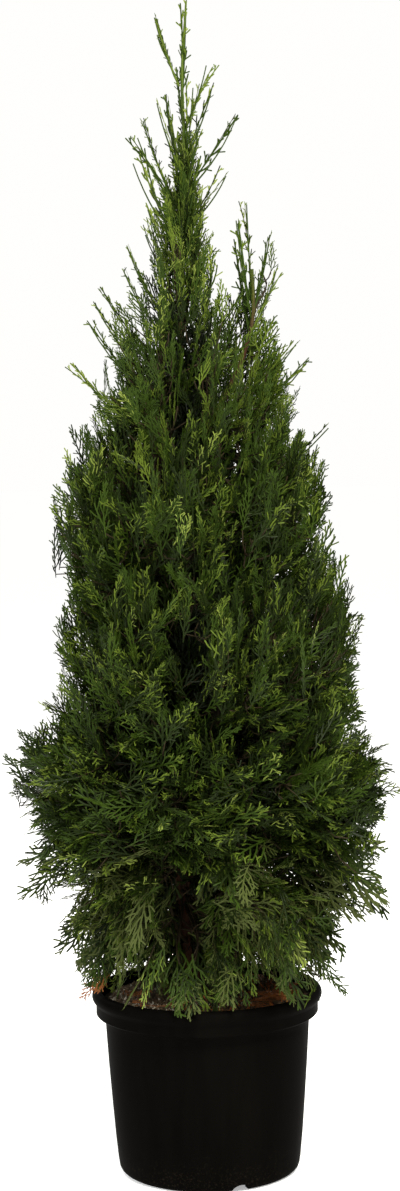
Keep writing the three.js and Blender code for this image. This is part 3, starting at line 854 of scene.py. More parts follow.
class SprayHeap:
    """Collects placed sprays by tier and tone, and joins them into pieces at the end."""

    def __init__(self, rng, width):
        self.rng = rng
        self.patterns = {}
        for habit in HABITS:
            count = 6 if habit == "wand" else 8
            self.patterns[habit] = [grow_spray(habit, rng, width) for _ in range(count)]
        self.parts = {}

    def add(self, tier, tone, points, faces):
        """Adds a mesh to the piece of a tier and tone."""
        self.parts.setdefault((tier, tone), []).append((points, faces))

    def place(self, tier, habit, foot, forward, normal, size, bend, inner_tone, tip_tone):
        """Places many sprays of one habit: arrays of feet, directions, planes, sizes, bends and tones."""
        pick = self.rng.integers(0, len(self.patterns[habit]), len(foot))
        flip = self.rng.choice((-1.0, 1.0), len(foot))
        cup = self.rng.normal(0, 2.5, len(foot))
        roll = self.rng.normal(0, 3.5, len(foot))
        forward = unit(forward)
        across = unit(np.cross(forward, normal))
        normal = np.cross(across, forward)
        for k, pattern in enumerate(self.patterns[habit]):
            for part, tones in zip(pattern, (inner_tone, tip_tone)):
                for tone in np.unique(tones):
                    mine = np.flatnonzero((pick == k) & (tones == tone))
                    if not len(mine):
                        continue
                    local = part[0][None] * size[mine, None, None]
                    x, y, z = local[..., 0] * flip[mine, None], local[..., 1], local[..., 2]
                    lift = z + bend[mine, None] * y**2 + cup[mine, None] * x**2 + roll[mine, None] * x * y
                    points = (
                        foot[mine, None]
                        + x[..., None] * across[mine, None]
                        + y[..., None] * forward[mine, None]
                        + lift[..., None] * normal[mine, None]
                    )
                    faces = part[1][None] + (np.arange(len(mine)) * local.shape[1])[:, None, None]
                    flipped = flip[mine] < 0
                    faces[flipped] = faces[flipped][..., ::-1]
                    self.add(tier, str(tone), points.reshape(-1, 3), faces.reshape(-1, 3))

    def settle_all(self, finishes):
        """One piece for each tone of each tier."""
        for (tier, tone), parts in sorted(self.parts.items()):
            piece = add_mesh(f"sprays_{tier}_{tone}", *join_parts(parts))
            settle(piece, finishes[tone], TIERS[tier])


def mass_faces(nodes):
    """The triangles of some masses: corner points, normals, areas and the index of each one's node."""
    corners, owner = [], []
    for i, node in enumerate(nodes):
        mesh = NODES[node].data
        mesh.calc_loop_triangles()
        points = np.empty(len(mesh.vertices) * 3)
        mesh.vertices.foreach_get("co", points)
        index = np.empty(len(mesh.loop_triangles) * 3, np.int32)
        mesh.loop_triangles.foreach_get("vertices", index)
        corners.append(points.reshape(-1, 3)[index.reshape(-1, 3)])
        owner.append(np.full(len(corners[-1]), i))
    corners, owner = np.concatenate(corners), np.concatenate(owner)
    cross = np.cross(corners[:, 1] - corners[:, 0], corners[:, 2] - corners[:, 0])
    return corners, unit(cross), np.linalg.norm(cross, axis=1) / 2, owner


def outward(points):
    """Level unit vectors from the trunk to these points."""
    away = points - trunk_axis(points[:, 2])
    away[:, 2] = 0
    return unit(away)


def pick_on_masses(nodes, density, rng):
    """Random points on the outward faces of the masses, with normals and owners."""
    corners, normals, areas, owner = mass_faces(nodes)
    centre = corners.mean(1)
    facing = np.clip((normals * outward(centre)).sum(1) + 0.30, 0, 1)
    weight = areas * facing
    count = int(round(density * weight.sum()))
    face = rng.choice(len(weight), count, p=weight / weight.sum())
    u, v = rng.random(count), rng.random(count)
    over = u + v > 1
    u[over], v[over] = 1 - u[over], 1 - v[over]
    a, b, c = corners[face, 0], corners[face, 1], corners[face, 2]
    return a + u[:, None] * (b - a) + v[:, None] * (c - a), normals[face], owner[face]


class Envelope:
    """How far the crown reaches from the trunk, by height and direction, with its dips evened out."""

    def __init__(self, rng, foot=0.24, top=1.0, rows=39, sectors=24):
        self.foot, self.top, self.rows, self.sectors = foot, top, rows, sectors
        points = pick_on_masses([n for tier in MASSES for n in TIERS[tier]], 40000.0, rng)[0]
        row, sector, reach = self.cells(points)
        table = np.zeros((rows, sectors))
        np.maximum.at(table, (row, sector), reach)
        near = np.pad(table, ((3, 3), (1, 1)), mode="edge")
        near[:, 0], near[:, -1] = near[:, -2], near[:, 1]
        shifted = [near[i : i + rows, j : j + sectors] for i in range(7) for j in range(3)]
        self.table = np.mean(shifted, axis=0)

    def cells(self, points):
        """The row and the sector of the table for each point, and how far out the point is."""
        away = points - trunk_axis(points[:, 2])
        row = (points[:, 2] - self.foot) / (self.top - self.foot) * self.rows
        sector = (np.arctan2(away[:, 1], away[:, 0]) / math.tau * self.sectors).astype(int) % self.sectors
        return np.clip(row, 0, self.rows - 1).astype(int), sector, np.hypot(away[:, 0], away[:, 1])

    def even_out(self, points, least, most):
        """Points moved level so that their reach is between two shares of the crown's own."""
        row, sector, reach = self.cells(points)
        own = self.table[row, sector]
        move = np.clip(reach, least * own, most * own) - reach
        move *= points[:, 2] < self.top - 0.02
        return points + outward(points) * move[:, None]


# height in metres: rise of the sprays over the level in degrees, chance of a level fan, bend down in 1/m
HABIT_BY_HEIGHT = np.array(
    (
        (0.22, -44, 0.70, -2.2),
        (0.31, -22, 0.66, -2.2),
        (0.42, 6, 0.58, -1.5),
        (0.49, 26, 0.40, -0.6),
        (0.57, 50, 0.14, 0.8),
        (0.86, 63, 0.06, 1.0),
        (1.02, 70, 0.05, 0.8),
        (1.31, 76, 0.05, 0.2),
    )
)


# height in metres: share of the sprays that grow there, fewer where the sky shows through
OPENNESS = np.array(((0.80, 1.0), (0.87, 0.76), (0.93, 0.48), (1.0, 0.42), (1.1, 0.4), (1.31, 0.3)))
THIN_FRONT = (0.235, 0.35)  # between these heights the front of the crown is thinner
TRUNK_SEEN = (0.245, 0.375)  # between these the sprays part, and the trunk shows
PARTING = 0.034  # least distance from the trunk's line to the middles of the parted sprays
ROOM_AT_TRUNK = 0.006  # least distance from the trunk's middle to the foot of a spray


def turned(vectors, angles):
    """Level vectors turned about Z by these angles."""
    c, s = np.cos(angles), np.sin(angles)
    x, y = vectors[:, 0], vectors[:, 1]
    return np.stack([c * x - s * y, s * x + c * y, vectors[:, 2]], 1)


def spray_lay(points, normals, rng):
    """Direction, plane and bend for sprays whose tips are at these points."""
    count, z = len(points), points[:, 2]
    rise, level, bend = (np.interp(z, HABIT_BY_HEIGHT[:, 0], HABIT_BY_HEIGHT[:, i]) for i in (1, 2, 3))
    rise = np.radians(rise + 20 * normals[:, 2] + rng.normal(0, 17, count))
    rise = np.clip(rise, math.radians(-65), math.radians(86))
    away = turned(outward(points), rng.normal(0, math.radians(32), count))
    forward = np.cos(rise)[:, None] * away + np.sin(rise)[:, None] * UP
    tangent = np.cross(UP, away)
    upper = np.cross(forward, tangent)
    upper *= np.where(upper[:, 2:] < 0, -1, 1)
    flat = rng.random(count) < level
    edge_on = math.pi / 2 + rng.normal(0, math.radians(34), count)
    tilt = np.where(flat, rng.normal(0, math.radians(30), count), edge_on)
    normal = np.cos(tilt)[:, None] * upper + np.sin(tilt)[:, None] * tangent
    return forward, normal, bend * rng.uniform(0.4, 1.6, count) + rng.normal(0, 0.8, count)


def hem(nodes, count, rng):
    """Tips of sprays that hang from the lowest masses: inside the rim over the mix, or down past it."""
    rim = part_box("pot")[1]
    turn = rng.random(count) * math.tau
    reach = rng.uniform(0.055, 0.172, count)
    inside = reach < rim.x + 0.006
    reach = np.where(inside, np.minimum(reach, rim.x - 0.004), reach)
    height = np.where(inside, rng.uniform(0.000, 0.060, count), rng.uniform(-0.016, 0.060, count)) + rim.z
    tips = np.stack([np.cos(turn) * reach, np.sin(turn) * reach, height], 1)
    middles = np.array([(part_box(n)[0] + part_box(n)[1]) / 2 for n in nodes])
    owner = np.linalg.norm(tips[:, None, :2] - middles[None, :, :2], axis=2).argmin(1)
    normals = unit(outward(tips) - 0.9 * UP)
    return tips, normals, owner


def skirts_inside(nodes, count, rng):
    """Tips of shaded sprays low down round the foot of the trunk."""
    turn = rng.random(count) * math.tau
    reach = rng.uniform(0.028, 0.095, count)
    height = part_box("pot")[1].z + rng.uniform(-0.002, 0.07, count)
    tips = np.stack([np.cos(turn) * reach, np.sin(turn) * reach, height], 1)
    return tips, unit(outward(tips) - 0.9 * UP), rng.integers(0, len(nodes), count)


def comb_aside(tips, feet):
    """Moves to the left and right that clear the sprays from before the foot of the trunk."""
    middle = (tips + feet) / 2
    off = middle[:, 0] - trunk_axis(middle[:, 2])[:, 0]
    before = (middle[:, 1] < 0) & (middle[:, 2] > TRUNK_SEEN[0]) & (middle[:, 2] < TRUNK_SEEN[1])
    move = before * np.sign(off) * np.maximum(PARTING - np.abs(off), 0)
    return move[:, None] * (1.0, 0.0, 0.0)


def open_share(tips):
    """Share of the sprays that grow at these tips: fewer near the top and low down at the front."""
    height, front = tips[:, 2], -outward(tips)[:, 1]
    share = np.interp(height, OPENNESS[:, 0], OPENNESS[:, 1])
    share[(height > THIN_FRONT[0]) & (height < THIN_FRONT[1]) & (front > 0.87)] *= 0.2
    share[(height <= THIN_FRONT[0]) & (front > 0.5)] *= 0.5
    return share


# layer: share of the density, least and most depth of the tips in mm, size,
# furthest reach as a share of the crown's, habits
LAYERS = (
    (1.14, 0, 22, (0.60, 1.02), 1.03, {"plume": 0.56, "comb": 0.32, "fan": 0.12}),
    (0.58, 16, 44, (0.80, 1.15), 0.93, {"plume": 0.5, "comb": 0.3, "fan": 0.2}),
    (0.38, 42, 105, (0.95, 1.4), 0.80, {"plain": 1.0}),
)
LAYER_COUNT = {"crest": 2, "tips": 1}
FULLNESS = {"skirt": (0.72, 0.36, 0.18), "shoulder": (1.12,) * 3, "crest": (1.05,) * 2, "tips": (0.35,)}
SPRAY_SIZE = {"shoulder": 0.84, "crest": 0.66, "tips": 0.66}
HIGH_HABITS = {"plume": 0.7, "comb": 0.3}
SPREADING_HABITS = {"arch": 0.6, "fan": 0.4}
# tones of the inner part and of the tips, with their shares
TONES = (
    (
        {"deep": 0.66, "middle": 0.34},
        {"deep": 0.13, "middle": 0.45, "fresh": 0.37, "pale": 0.05},
    ),
    (
        {"shade": 0.4, "deep": 0.6},
        {"deep": 0.60, "middle": 0.32, "fresh": 0.08},
    ),
    (
        {"shade": 1.0},
        {"shade": 0.75, "deep": 0.25},
    ),
)
LOW_TONES = (
    {"deep": 0.36, "middle": 0.30, "olive": 0.34},
    {"deep": 0.08, "olive": 0.36, "middle": 0.22, "fresh": 0.28, "pale": 0.06},
)
INNER_TONES = (
    {"deep": 0.6, "middle": 0.4},
    {"deep": 0.3, "middle": 0.48, "fresh": 0.22},
)
HIGH_TONES = (
    {"middle": 0.62, "deep": 0.18, "fresh": 0.20},
    {"middle": 0.24, "fresh": 0.54, "pale": 0.22},
)
SHOULDER_TONES = (HIGH_TONES[0], {"middle": 0.48, "fresh": 0.44, "pale": 0.08})
TONE_NAMES = ("shade", "deep", "olive", "middle", "fresh", "pale", "spent")


def layer_tones(tier, depth):
    """Tones of the inner parts and of the tips in one layer of a tier."""
    if tier in HIGH_TIERS:
        return HIGH_TONES
    if tier == "skirt" and depth < 2:
        return LOW_TONES
    if tier in ("upper", "shoulder") and depth == 1:
        return INNER_TONES
    return TONES[depth]


def deal(shares, count, rng):
    """Names dealt out at random by their shares."""
    names = list(shares)
    return rng.choice(names, count, p=np.array([shares[n] for n in names]) / sum(shares.values()))


def deal_tones(pair, count, rng):
    """Tones for the inner parts and for the tips of some sprays."""
    return [deal(shares, count, rng) for shares in pair]


def nearest(points, line):
    """Index of the station of a line that is nearest to each point."""
    return np.linalg.norm(points[:, None] - line[None], axis=2).argmin(1)


def bezier(a, b, c, d, stations):
    """Cubic curves from arrays of four control points."""
    t = np.linspace(0, 1, stations)[None, :, None]
    a, b, c, d = (np.asarray(p)[:, None] for p in (a, b, c, d))
    return (1 - t) ** 3 * a + 3 * (1 - t) ** 2 * t * b + 3 * (1 - t) * t**2 * c + t**3 * d


def group_means(values, group, spare):
    """The mean of the values in each group; an empty group takes its row of the spare ones."""
    means = [values[group == g].mean(0) if (group == g).any() else own for g, own in enumerate(spare)]
    return np.array(means)


def gather(points, groups, rng):
    """Puts points into groups of near neighbours: the group of each and the middles."""
    middles = points[rng.choice(len(points), groups, replace=False)]
    for _ in range(6):
        group = np.linalg.norm(points[:, None] - middles[None], axis=2).argmin(1)
        middles = group_means(points, group, middles)
    return group, middles


def limb_end(node, feet):
    """Where the stem of a mass starts, how thick it is there and which way it leads."""
    middle, foot_height = feet.mean(0), feet[:, 2].min()
    bough = node.replace("lower_", "bough_low_").replace("upper_", "bough_high_")
    if bough != node:
        line = limb_line(bough)
        return line[-1, :3], line[-1, 3], unit(line[-1, :3] - line[-2, :3])
    away = outward(middle[None])[0]
    if any(node in TIERS[tier] for tier in HIGH_TIERS):
        stems = np.concatenate([limb_line(n)[:, :3] for n in ("trunk", "second_leader", "side_leader")])
        under = stems[stems[:, 2] < foot_height + 0.01]
        start = under[np.linalg.norm(under - middle + 0.04 * UP, axis=1).argmin()]
        return start, 1.5 * MM, unit(0.25 * away + UP)
    return trunk_axis(foot_height * 0.6 + middle[2] * 0.4 - 0.02), 2.6 * MM, unit(away + 0.5 * UP)


def branch_out(node, feet, forward, rng):
    """Branches and twigs that carry a mass's sprays, grown on from the limb that enters it."""
    start, radius, lead = limb_end(node, feet)
    middle, top = feet.mean(0), feet[:, 2].max()
    reach = np.linalg.norm(middle - start)
    crown = middle + (top - middle[2]) * 0.45 * UP
    stem = bezier([start], [start + lead * reach * 0.5], [middle - 0.25 * (crown - middle)], [crown], 12)[0]
    parts = [tubes([stem], [np.linspace(radius, 0.9 * MM, 12)], 6)]
    groups = max(2, len(feet) // 12)
    group, middles = gather(feet, groups, rng)
    middles = middles - outward(middles) * 8 * MM
    root = stem[np.maximum(nearest(middles - 0.25 * reach * UP, stem), 1)]
    gap = np.linalg.norm(middles - root, axis=1)[:, None]
    flow = unit(group_means(forward, group, np.tile(UP, (groups, 1))))
    lead_off = root + gap * 0.35 * unit(middles - root)
    branches = bezier(root, lead_off, middles - flow * gap * 0.16, middles, 8)
    parts.append(tubes(branches, np.linspace(1.3 * MM, 0.7 * MM, 8)[None].repeat(groups, 0), 5))
    mine = branches[group]
    near = np.linalg.norm(mine[:, 2:] - (feet - forward * 0.02)[:, None], axis=2).argmin(1) + 2
    foot = mine[np.arange(len(feet)), near]
    gap = np.linalg.norm(feet - foot, axis=1)[:, None]
    lead_off = foot + gap * 0.3 * unit(feet - foot)
    twigs = bezier(foot, lead_off, feet - forward * gap * 0.25, feet + forward * 0.004, 3)
    parts.append(tubes(twigs, np.linspace(0.9 * MM, 0.7 * MM, 3)[None].repeat(len(feet), 0), 3))
    return parts


# free shoots: limb, height of the foot, then x, y and z of the tip, in mm
SHOOTS = (
    ("trunk", 1040, -4, 0, 1165), ("trunk", 1110, 2, -3, 1212), ("trunk", 1165, -16, 3, 1236),
    ("trunk", 1205, -4, 0, 1306), ("trunk", 1236, -9, 1, 1272),
    ("trunk", 1168, 17, -4, 1236), ("trunk", 1140, 23, 6, 1213), ("trunk", 1085, 48, -12, 1175),
    ("trunk", 1050, 37, 14, 1117), ("trunk", 1098, 7, -20, 1163), ("trunk", 1120, -28, 8, 1200),
    ("trunk", 1105, -38, -10, 1195), ("trunk", 1080, -54, 6, 1178), ("trunk", 1072, -60, -14, 1157),
    ("trunk", 1042, -66, 10, 1132), ("trunk", 1005, -50, -22, 1078), ("trunk", 985, -54, 20, 1054),
    ("trunk", 1060, -20, 34, 1150), ("trunk", 1040, 6, -36, 1128), ("trunk", 1010, -14, 44, 1105),
    ("side_leader", 1226, -39, -4, 1289), ("side_leader", 1218, -11, 2, 1226),
    ("side_leader", 1240, -36, -8, 1268), ("second_leader", 960, 59, -8, 1083),
    ("second_leader", 955, 47, -14, 1065), ("second_leader", 940, 46, 6, 1040),
    ("second_leader", 965, 84, -12, 1049), ("second_leader", 935, 91, 4, 1011),
    ("second_leader", 920, 72, 18, 1004),
    ("trunk", 935, -73, -16, 1036), ("trunk", 915, -79, 18, 1014), ("trunk", 890, -102, -6, 992),
    ("trunk", 870, -111, 16, 976), ("trunk", 850, -117, -20, 954), ("trunk", 815, -135, 4, 910),
    ("trunk", 830, 111, -14, 928), ("trunk", 810, 124, 12, 909), ("trunk", 745, 146, -8, 835),
    ("trunk", 930, 10, 72, 1020), ("trunk", 925, -40, -66, 1018), ("trunk", 905, 52, -58, 985),
    ("trunk", 880, -62, 76, 968), ("trunk", 860, 34, 96, 950), ("trunk", 850, 4, -98, 946),
)


# sprays that reach out low down: x, y and z of the tip and length, in mm, and how steeply they drop
REACHING = (
    (210, -18, 318, 118, 0.5), (205, 20, 345, 100, 0.35),
    (196, -60, 330, 100, 0.45), (172, -70, 300, 90, 0.6),
    (-206, -10, 362, 96, 0.25), (-192, 40, 335, 90, 0.5), (-188, -52, 322, 84, 0.6), (30, -196, 350, 84, 0.4),
    (60, 186, 350, 84, 0.4), (-90, 168, 330, 84, 0.5), (-206, 10, 470, 84, -0.1), (208, 8, 455, 84, 0.0),
    (-136, -34, 230, 88, 1.0), (-148, -16, 244, 92, 0.9), (-144, 14, 236, 82, 1.0), (-122, -66, 228, 82, 1.1),
    (-156, 4, 264, 92, 0.8), (-148, -46, 256, 88, 0.9), (-36, -134, 222, 82, 0.8), (-12, -140, 219, 82, 0.8),
    (20, -136, 226, 78, 0.8), (150, -22, 262, 92, 0.8), (140, -54, 248, 86, 0.9), (134, 40, 240, 82, 0.9),
    (44, 134, 228, 82, 0.9), (-54, 128, 230, 82, 0.9), (2, 142, 236, 88, 0.9), (-108, 98, 240, 82, 0.9),
)
# dead sprays on the mix: direction in degrees, distance from the middle and height in mm, count
FALLEN = ((-38, 90, 200, 9), (-12, 86, 200, 9), (62, 84, 199, 5), (205, 88, 201, 5), (252, 70, 199, 3))
FALLEN_REACH = 0.092  # keeps them clear of the wall
# two more that hang over the rim at the left: foot, direction and size
OVER_RIM_FOOT = (-0.108, -0.034, 0.230)
OVER_RIM = (((-0.032, -0.004, -0.022), 0.62), ((-0.029, 0.012, -0.027), 0.5))
# the upright sheaf round the leader: lowest height, rise and count
SHEAF_FOOT, SHEAF_RISE, SHEAF_COUNT = 1.0, 0.165, 110


class THUJA_OT_crown(bpy.types.Operator):
    """Grow the branches, twigs and sprays that fill the crown"""

    bl_idname = "thuja.crown"
    bl_label = "Crown"

    def execute(self, context):
        settings = context.scene.thuja_crown
        rng = np.random.default_rng(settings.seed + 1)
        heap = SprayHeap(rng, settings.branchlet)
        finish = twig_finish(settings)
        envelope = Envelope(rng)
        for tier, nodes in TIERS.items():
            twigs = self.fill(tier, settings.density, heap, envelope, rng)
            if tier == "tips":
                self.shoots(heap, rng)
            if twigs:
                settle(add_mesh(f"twigs_{tier}", *join_parts(twigs), smooth=True), finish, nodes)
        reaching = self.reaching_sprays(heap, rng)
        self.dead_sprays(heap, rng)
        piece = add_mesh("twigs_reaching", *join_parts(reaching), smooth=True)
        settle(piece, finish, TIERS["skirt"])
        heap.settle_all({tone: leaf_finish(f"leaf_{tone}", getattr(settings, tone)) for tone in TONE_NAMES})
        return {"FINISHED"}

    def fill(self, tier, density, heap, envelope, rng):
        """Sprays in layers under the surface of a tier's masses, and the twigs that carry them."""
        nodes = TIERS[tier]
        carried = {node: [] for node in nodes}
        for depth in range(LAYER_COUNT.get(tier, len(LAYERS))):
            tips, normals, owner = self.layer_tips(tier, depth, density, envelope, rng)
            forward, plane, bend = spray_lay(tips, normals, rng)
            kept = rng.random(len(tips)) < open_share(tips)
            grown = (tips, normals, owner, forward, plane, bend)
            tips, normals, owner, forward, plane, bend = (values[kept] for values in grown)
            count = len(tips)
            tips = self.sink(tips, normals, tier, depth, rng)
            size = rng.uniform(*LAYERS[depth][3], count) * SPRAY_SIZE.get(tier, 1.0)
            habit = self.layer_habits(tips, tier, depth, rng)
            length = np.array([HABITS[name][0] * MM for name in habit]) * size
            feet = tips - forward * length[:, None]
            side = outward(tips)
            away = ((feet - trunk_axis(feet[:, 2])) * side).sum(1)
            feet = feet + side * np.maximum(ROOM_AT_TRUNK - away, 0)[:, None]
            aside = comb_aside(tips, feet)
            tips, feet = tips + aside, feet + aside
            inner, ends = deal_tones(layer_tones(tier, depth), count, rng)
            if tier == "shoulder" and depth == 0:
                inner, ends = deal_tones(SHOULDER_TONES, count, rng)
            sprays = (feet, tips - feet, plane, size, bend, inner, ends)
            for name in np.unique(habit):
                heap.place(tier, name, *(values[habit == name] for values in sprays))
            for i, node in enumerate(nodes):
                carried[node].append((feet[owner == i], forward[owner == i]))
        twigs = []
        for node, layers in carried.items():
            feet, forward = (np.concatenate(values) for values in zip(*layers))
            if len(feet) > 1:
                twigs += branch_out(node, feet, forward, rng)
        return twigs

    def layer_tips(self, tier, depth, density, envelope, rng):
        """Tips of one layer on a tier's masses, evened out, with their normals and owners."""
        nodes, (share, _, _, _, most, _) = TIERS[tier], LAYERS[depth]
        fullness = FULLNESS.get(tier, (1.0,) * len(LAYERS))[depth]
        found = [pick_on_masses(nodes, density * share * fullness, rng)]
        if tier == "skirt" and depth == 0:
            found.append(hem(nodes, 300, rng))
        if tier == "skirt" and depth == 1:
            found.append(skirts_inside(nodes, 150, rng))
        tips, normals, owner = (np.concatenate(values) for values in zip(*found))
        if tier not in HIGH_TIERS:
            least = rng.uniform(0.80, 1.0, len(tips)) if depth == 0 else 0.0
            tips = envelope.even_out(tips, least, most)
        return tips, normals, owner

    def sink(self, tips, normals, tier, depth, rng):
        """Tips moved into the crown by the layer's depth; some of the outer ones stand out of it instead."""
        count, (_, shallow, far, _, _, _) = len(tips), LAYERS[depth]
        sunk = rng.uniform(shallow, far, count) * MM * (0.35 if tier in HIGH_TIERS else 1.0)
        sunk -= (rng.random(count) < 0.14) * rng.uniform(4, 14, count) * MM * (depth == 0)
        room = 0.7 * np.linalg.norm((tips - trunk_axis(tips[:, 2]))[:, :2], axis=1)
        inward = normals if depth == 0 else outward(tips)
        return tips - inward * np.minimum(sunk, room)[:, None]

    def layer_habits(self, tips, tier, depth, rng):
        """Habits for a layer's sprays: upright ones high up, spreading ones low down."""
        count = len(tips)
        habit = deal(HIGH_HABITS if tier in HIGH_TIERS else LAYERS[depth][5], count, rng)
        spreading = (tips[:, 2] < rng.uniform(0.44, 0.58, count)) & (habit != "plain")
        spreading &= rng.random(count) < 0.75
        return np.where(spreading, deal(SPREADING_HABITS, count, rng), habit)

    def shoots(self, heap, rng):
        """The free shoots over the crown, green to the foot, and the upright sheaf round the leader."""
        for limb, height, x, y, z in SHOOTS:
            rows = through(limb_line(limb), 80)
            start = rows[np.abs(rows[:, 2] - height * MM).argmin(), :3]
            tip = np.array((x, y, z)) * MM
            span = np.linalg.norm(tip - start)
            rise = unit(tip - start + UP * span * 0.55)
            lead = start + (tip - start) * 0.35 - UP * span * 0.08
            curve = bezier([start], [lead], [tip - rise * span * 0.4], [tip], 9)
            heap.add("tips", "middle", *tubes(curve, [np.linspace(1.15, 0.7, 9) * MM], 5))
            pieces = max(1, int(round(span / 0.075)))
            for i in range(pieces):
                ends = i / pieces, min(1.0, (i + 1) / pieces + 0.08)
                low, high = (self.point_on(curve[0], t) for t in ends)
                turn = rng.uniform(0, math.pi)
                for angle in (turn, turn + 1.4):
                    plane = np.array([(math.cos(angle), math.sin(angle), 0.0)])
                    self.stand(heap, "wand", low[None], (high - low)[None], plane, rng)
        height = SHEAF_FOOT + SHEAF_RISE * rng.random(SHEAF_COUNT) ** 1.2
        reach = np.interp(height, (SHEAF_FOOT, SHEAF_FOOT + SHEAF_RISE), (0.040, 0.016))
        reach = reach * rng.random(SHEAF_COUNT) ** 0.5
        turn = rng.random(SHEAF_COUNT) * math.tau
        away = np.stack([np.cos(turn), np.sin(turn), np.zeros(SHEAF_COUNT)], 1)
        tips = trunk_axis(height) + away * reach[:, None]
        lean = unit(UP + away * rng.uniform(0.02, 0.35, SHEAF_COUNT)[:, None])
        across = turned(away, rng.uniform(0, math.pi, SHEAF_COUNT))
        span = rng.uniform(0.045, 0.062, SHEAF_COUNT)[:, None]
        self.stand(heap, "plume", tips - lean * 0.055, lean * span, across, rng)

    def point_on(self, line, share):
        """The point at this share of a line's stations."""
        stations = np.arange(len(line))
        return np.array([np.interp(share * stations[-1], stations, axis) for axis in line.T])

    def stand(self, heap, habit, feet, forward, plane, rng):
        """Sprays of one habit that reach just as far as the given vectors."""
        size = np.linalg.norm(forward, axis=1) / (HABITS[habit][0] * MM)
        inner, ends = deal_tones(HIGH_TONES, len(feet), rng)
        bend = rng.normal(0, 0.6, len(feet))
        heap.place("tips", habit, feet, forward, plane, size, bend, inner, ends)

    def reaching_sprays(self, heap, rng):
        """Long low sprays in pairs that reach out of the crown: their twigs."""
        twigs = []
        for x, y, z, length, drop in REACHING:
            tip = np.array([(x, y, z)]) * MM
            forward = unit(turned(outward(tip), np.array([rng.normal(0, 0.2)])) - drop * UP)
            plane = unit(UP * max(0.3, 1 - 0.75 * drop) + (0, -0.85, 0) + rng.normal(0, 0.15, (1, 3)))
            for reach in (length * MM, length * MM * 0.7):
                foot = tip - forward * reach
                tones = [np.array([rng.choice(("deep", "olive", "middle"))]) for _ in range(2)]
                size, bend = np.array([reach / 0.08]), np.array([-1.5])
                heap.place("lower", "arch", foot, forward, plane, size, bend, *tones)
                root = trunk_axis(foot[:, 2] + 0.05)
                path = bezier(root, root + (foot - root) * 0.4, foot - forward * 0.03, foot, 6)
                twigs.append(tubes(path, [np.linspace(1.5, 0.8, 6) * MM], 4))
                forward = turned(forward, np.array([rng.choice((-0.45, 0.45))]))
        return twigs

    def dead_sprays(self, heap, rng):
        """Dead sprays dropped on the mix and hung over the rim."""
        for degrees, reach, height, count in FALLEN:
            turn = np.radians(degrees + rng.normal(0, 9, count))
            reach = np.minimum(reach * MM + rng.normal(0, 9 * MM, count), FALLEN_REACH)
            place = np.stack([np.cos(turn) * reach, np.sin(turn) * reach, np.full(count, height * MM)], 1)
            place[:, 2] += rng.uniform(0, 9, count) * MM
            forward = turned(np.tile((1.0, 0.0, 0.05), (count, 1)), rng.uniform(0, math.tau, count))
            size = rng.uniform(0.35, 0.62, count)
            plane = UP + rng.normal(0, 0.3, (count, 3))
            self.lay_dead(heap, place - forward * 0.015, forward, plane, size)
        forward, size = (np.array(values) for values in zip(*OVER_RIM))
        count = len(size)
        front = np.tile((0.0, -1.0, 0.4), (count, 1))
        self.lay_dead(heap, np.tile(OVER_RIM_FOOT, (count, 1)), forward, front, size)

    def lay_dead(self, heap, feet, forward, plane, size):
        """Fans of the dead tone."""
        spent = np.full(len(feet), "spent")
        heap.place("skirt", "fan", feet, forward, plane, size, np.zeros(len(feet)), spent, spent)


# ---------------------------------------------------------------- stage


FLOOR_HALF = 40.0


def area_light(name, place, target, size, power, colour):
    """A rectangular light that faces its target."""
    light = bpy.data.lights.new(name, "AREA")
    light.shape, light.size, light.size_y = "RECTANGLE", *size
    light.energy, light.color = power, colour
    holder = bpy.data.objects.new(name, light)
    holder.location = place
    holder.rotation_euler = (Vector(target) - Vector(place)).to_track_quat("-Z", "Y").to_euler()
    bpy.context.scene.collection.objects.link(holder)


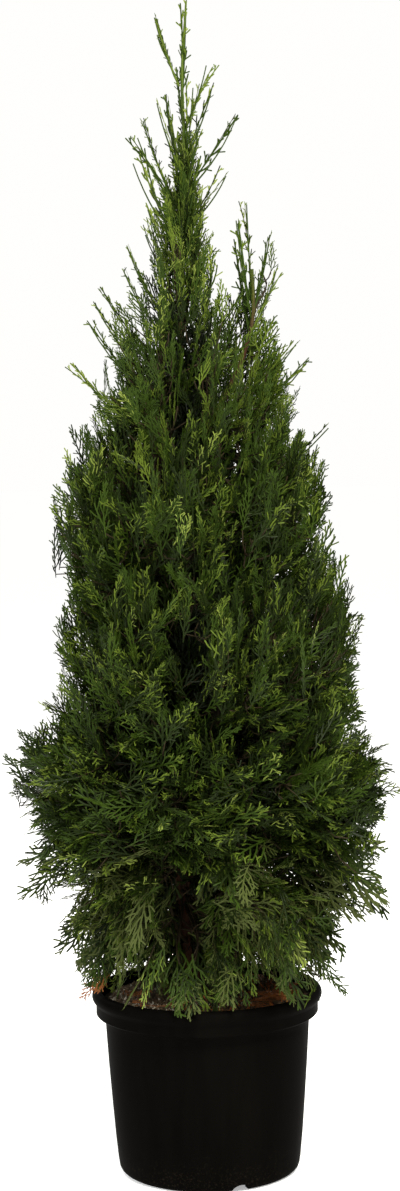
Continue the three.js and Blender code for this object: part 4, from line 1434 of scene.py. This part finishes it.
class THUJA_OT_stage(bpy.types.Operator):
    """Set the floor, the soft studio light and the camera"""

    bl_idname = "thuja.stage"
    bl_label = "Stage"

    def execute(self, context):
        scene, settings = context.scene, context.scene.thuja_stage
        corners = [(x * FLOOR_HALF, y * FLOOR_HALF, 0) for x, y in ((-1, -1), (1, -1), (1, 1), (-1, 1))]
        floor = add_mesh("floor", corners, [(0, 1, 2, 3)])
        finish = Finish("floor_paper", 0.9, 0.1)
        finish.paint((0.86, 0.86, 0.85))
        finish.set("Emission Color", (1.0, 1.0, 1.0, 1.0))
        finish.set("Emission Strength", 0.38)
        floor.data.materials.append(finish.material)
        world = bpy.data.worlds.new("studio")
        world.use_nodes = True
        backdrop = world.node_tree.nodes["Background"].inputs
        backdrop["Color"].default_value = (1.0, 0.995, 0.98, 1.0)
        seen = add_node(world.node_tree, "ShaderNodeLightPath", {})["Is Camera Ray"]
        ends = {"Value": seen, "To Min": settings.sky, "To Max": 1.0}
        strength = add_node(world.node_tree, "ShaderNodeMapRange", ends)["Result"]
        feed(world.node_tree, backdrop["Strength"], strength)
        scene.world = world
        area_light("key", (0.9, -1.7, 2.9), (0, 0, 0.7), (0.9, 0.9), settings.key, (1.0, 0.97, 0.9))
        area_light("fill", (-2.2, -1.6, 1.5), (0, 0, 0.6), (1.4, 1.8), settings.fill, (0.93, 0.97, 1.0))
        area_light("back", (-1.6, 2.3, 2.3), (0, 0, 0.7), (1.2, 1.2), settings.back, (1.0, 0.98, 0.94))
        camera = bpy.data.cameras.new("camera")
        camera.lens, camera.sensor_width, camera.sensor_fit = settings.lens, 36.0, "AUTO"
        camera.clip_start, camera.clip_end = 0.05, 60.0
        holder = bpy.data.objects.new("camera", camera)
        look = Matrix.Rotation(math.pi / 2 - settings.pitch, 4, "X") @ Matrix.Rotation(settings.roll, 4, "Z")
        holder.matrix_world = Matrix.Translation((0, -settings.distance, settings.eye_height)) @ look
        scene.collection.objects.link(holder)
        scene.camera = holder
        scene.view_settings.view_transform = "Standard"
        return {"FINISHED"}


# ---------------------------------------------------------------- panel and order of work

STEPS = (THUJA_OT_stage, THUJA_OT_pot, THUJA_OT_mix, THUJA_OT_bark, THUJA_OT_crown)
SETTINGS = {
    "thuja_pot": ThujaPotSettings,
    "thuja_mix": ThujaMixSettings,
    "thuja_crown": ThujaCrownSettings,
    "thuja_stage": ThujaStageSettings,
}


class THUJA_PT_panel(bpy.types.Panel):
    """The steps that build the potted thuja, and their sizes and colours"""

    bl_idname = "THUJA_PT_panel"
    bl_label = "Potted Thuja"
    bl_space_type = "VIEW_3D"
    bl_region_type = "UI"
    bl_category = "Thuja"

    def draw(self, context):
        for step in STEPS:
            self.layout.operator(step.bl_idname)
        for name, kind in SETTINGS.items():
            box = self.layout.box()
            for prop in kind.__annotations__:
                box.prop(getattr(context.scene, name), prop)


CLASSES = (*SETTINGS.values(), *STEPS, THUJA_PT_panel)


def register():
    for cls in CLASSES:
        bpy.utils.register_class(cls)
    for name, kind in SETTINGS.items():
        setattr(bpy.types.Scene, name, bpy.props.PointerProperty(type=kind))


def unregister():
    for name in SETTINGS:
        delattr(bpy.types.Scene, name)
    for cls in reversed(CLASSES):
        bpy.utils.unregister_class(cls)


def main():
    register()
    steps = bpy.ops.thuja
    for step in (steps.stage, steps.pot, steps.mix, steps.bark, steps.crown):
        step()


if __name__ == "__main__":
    main()
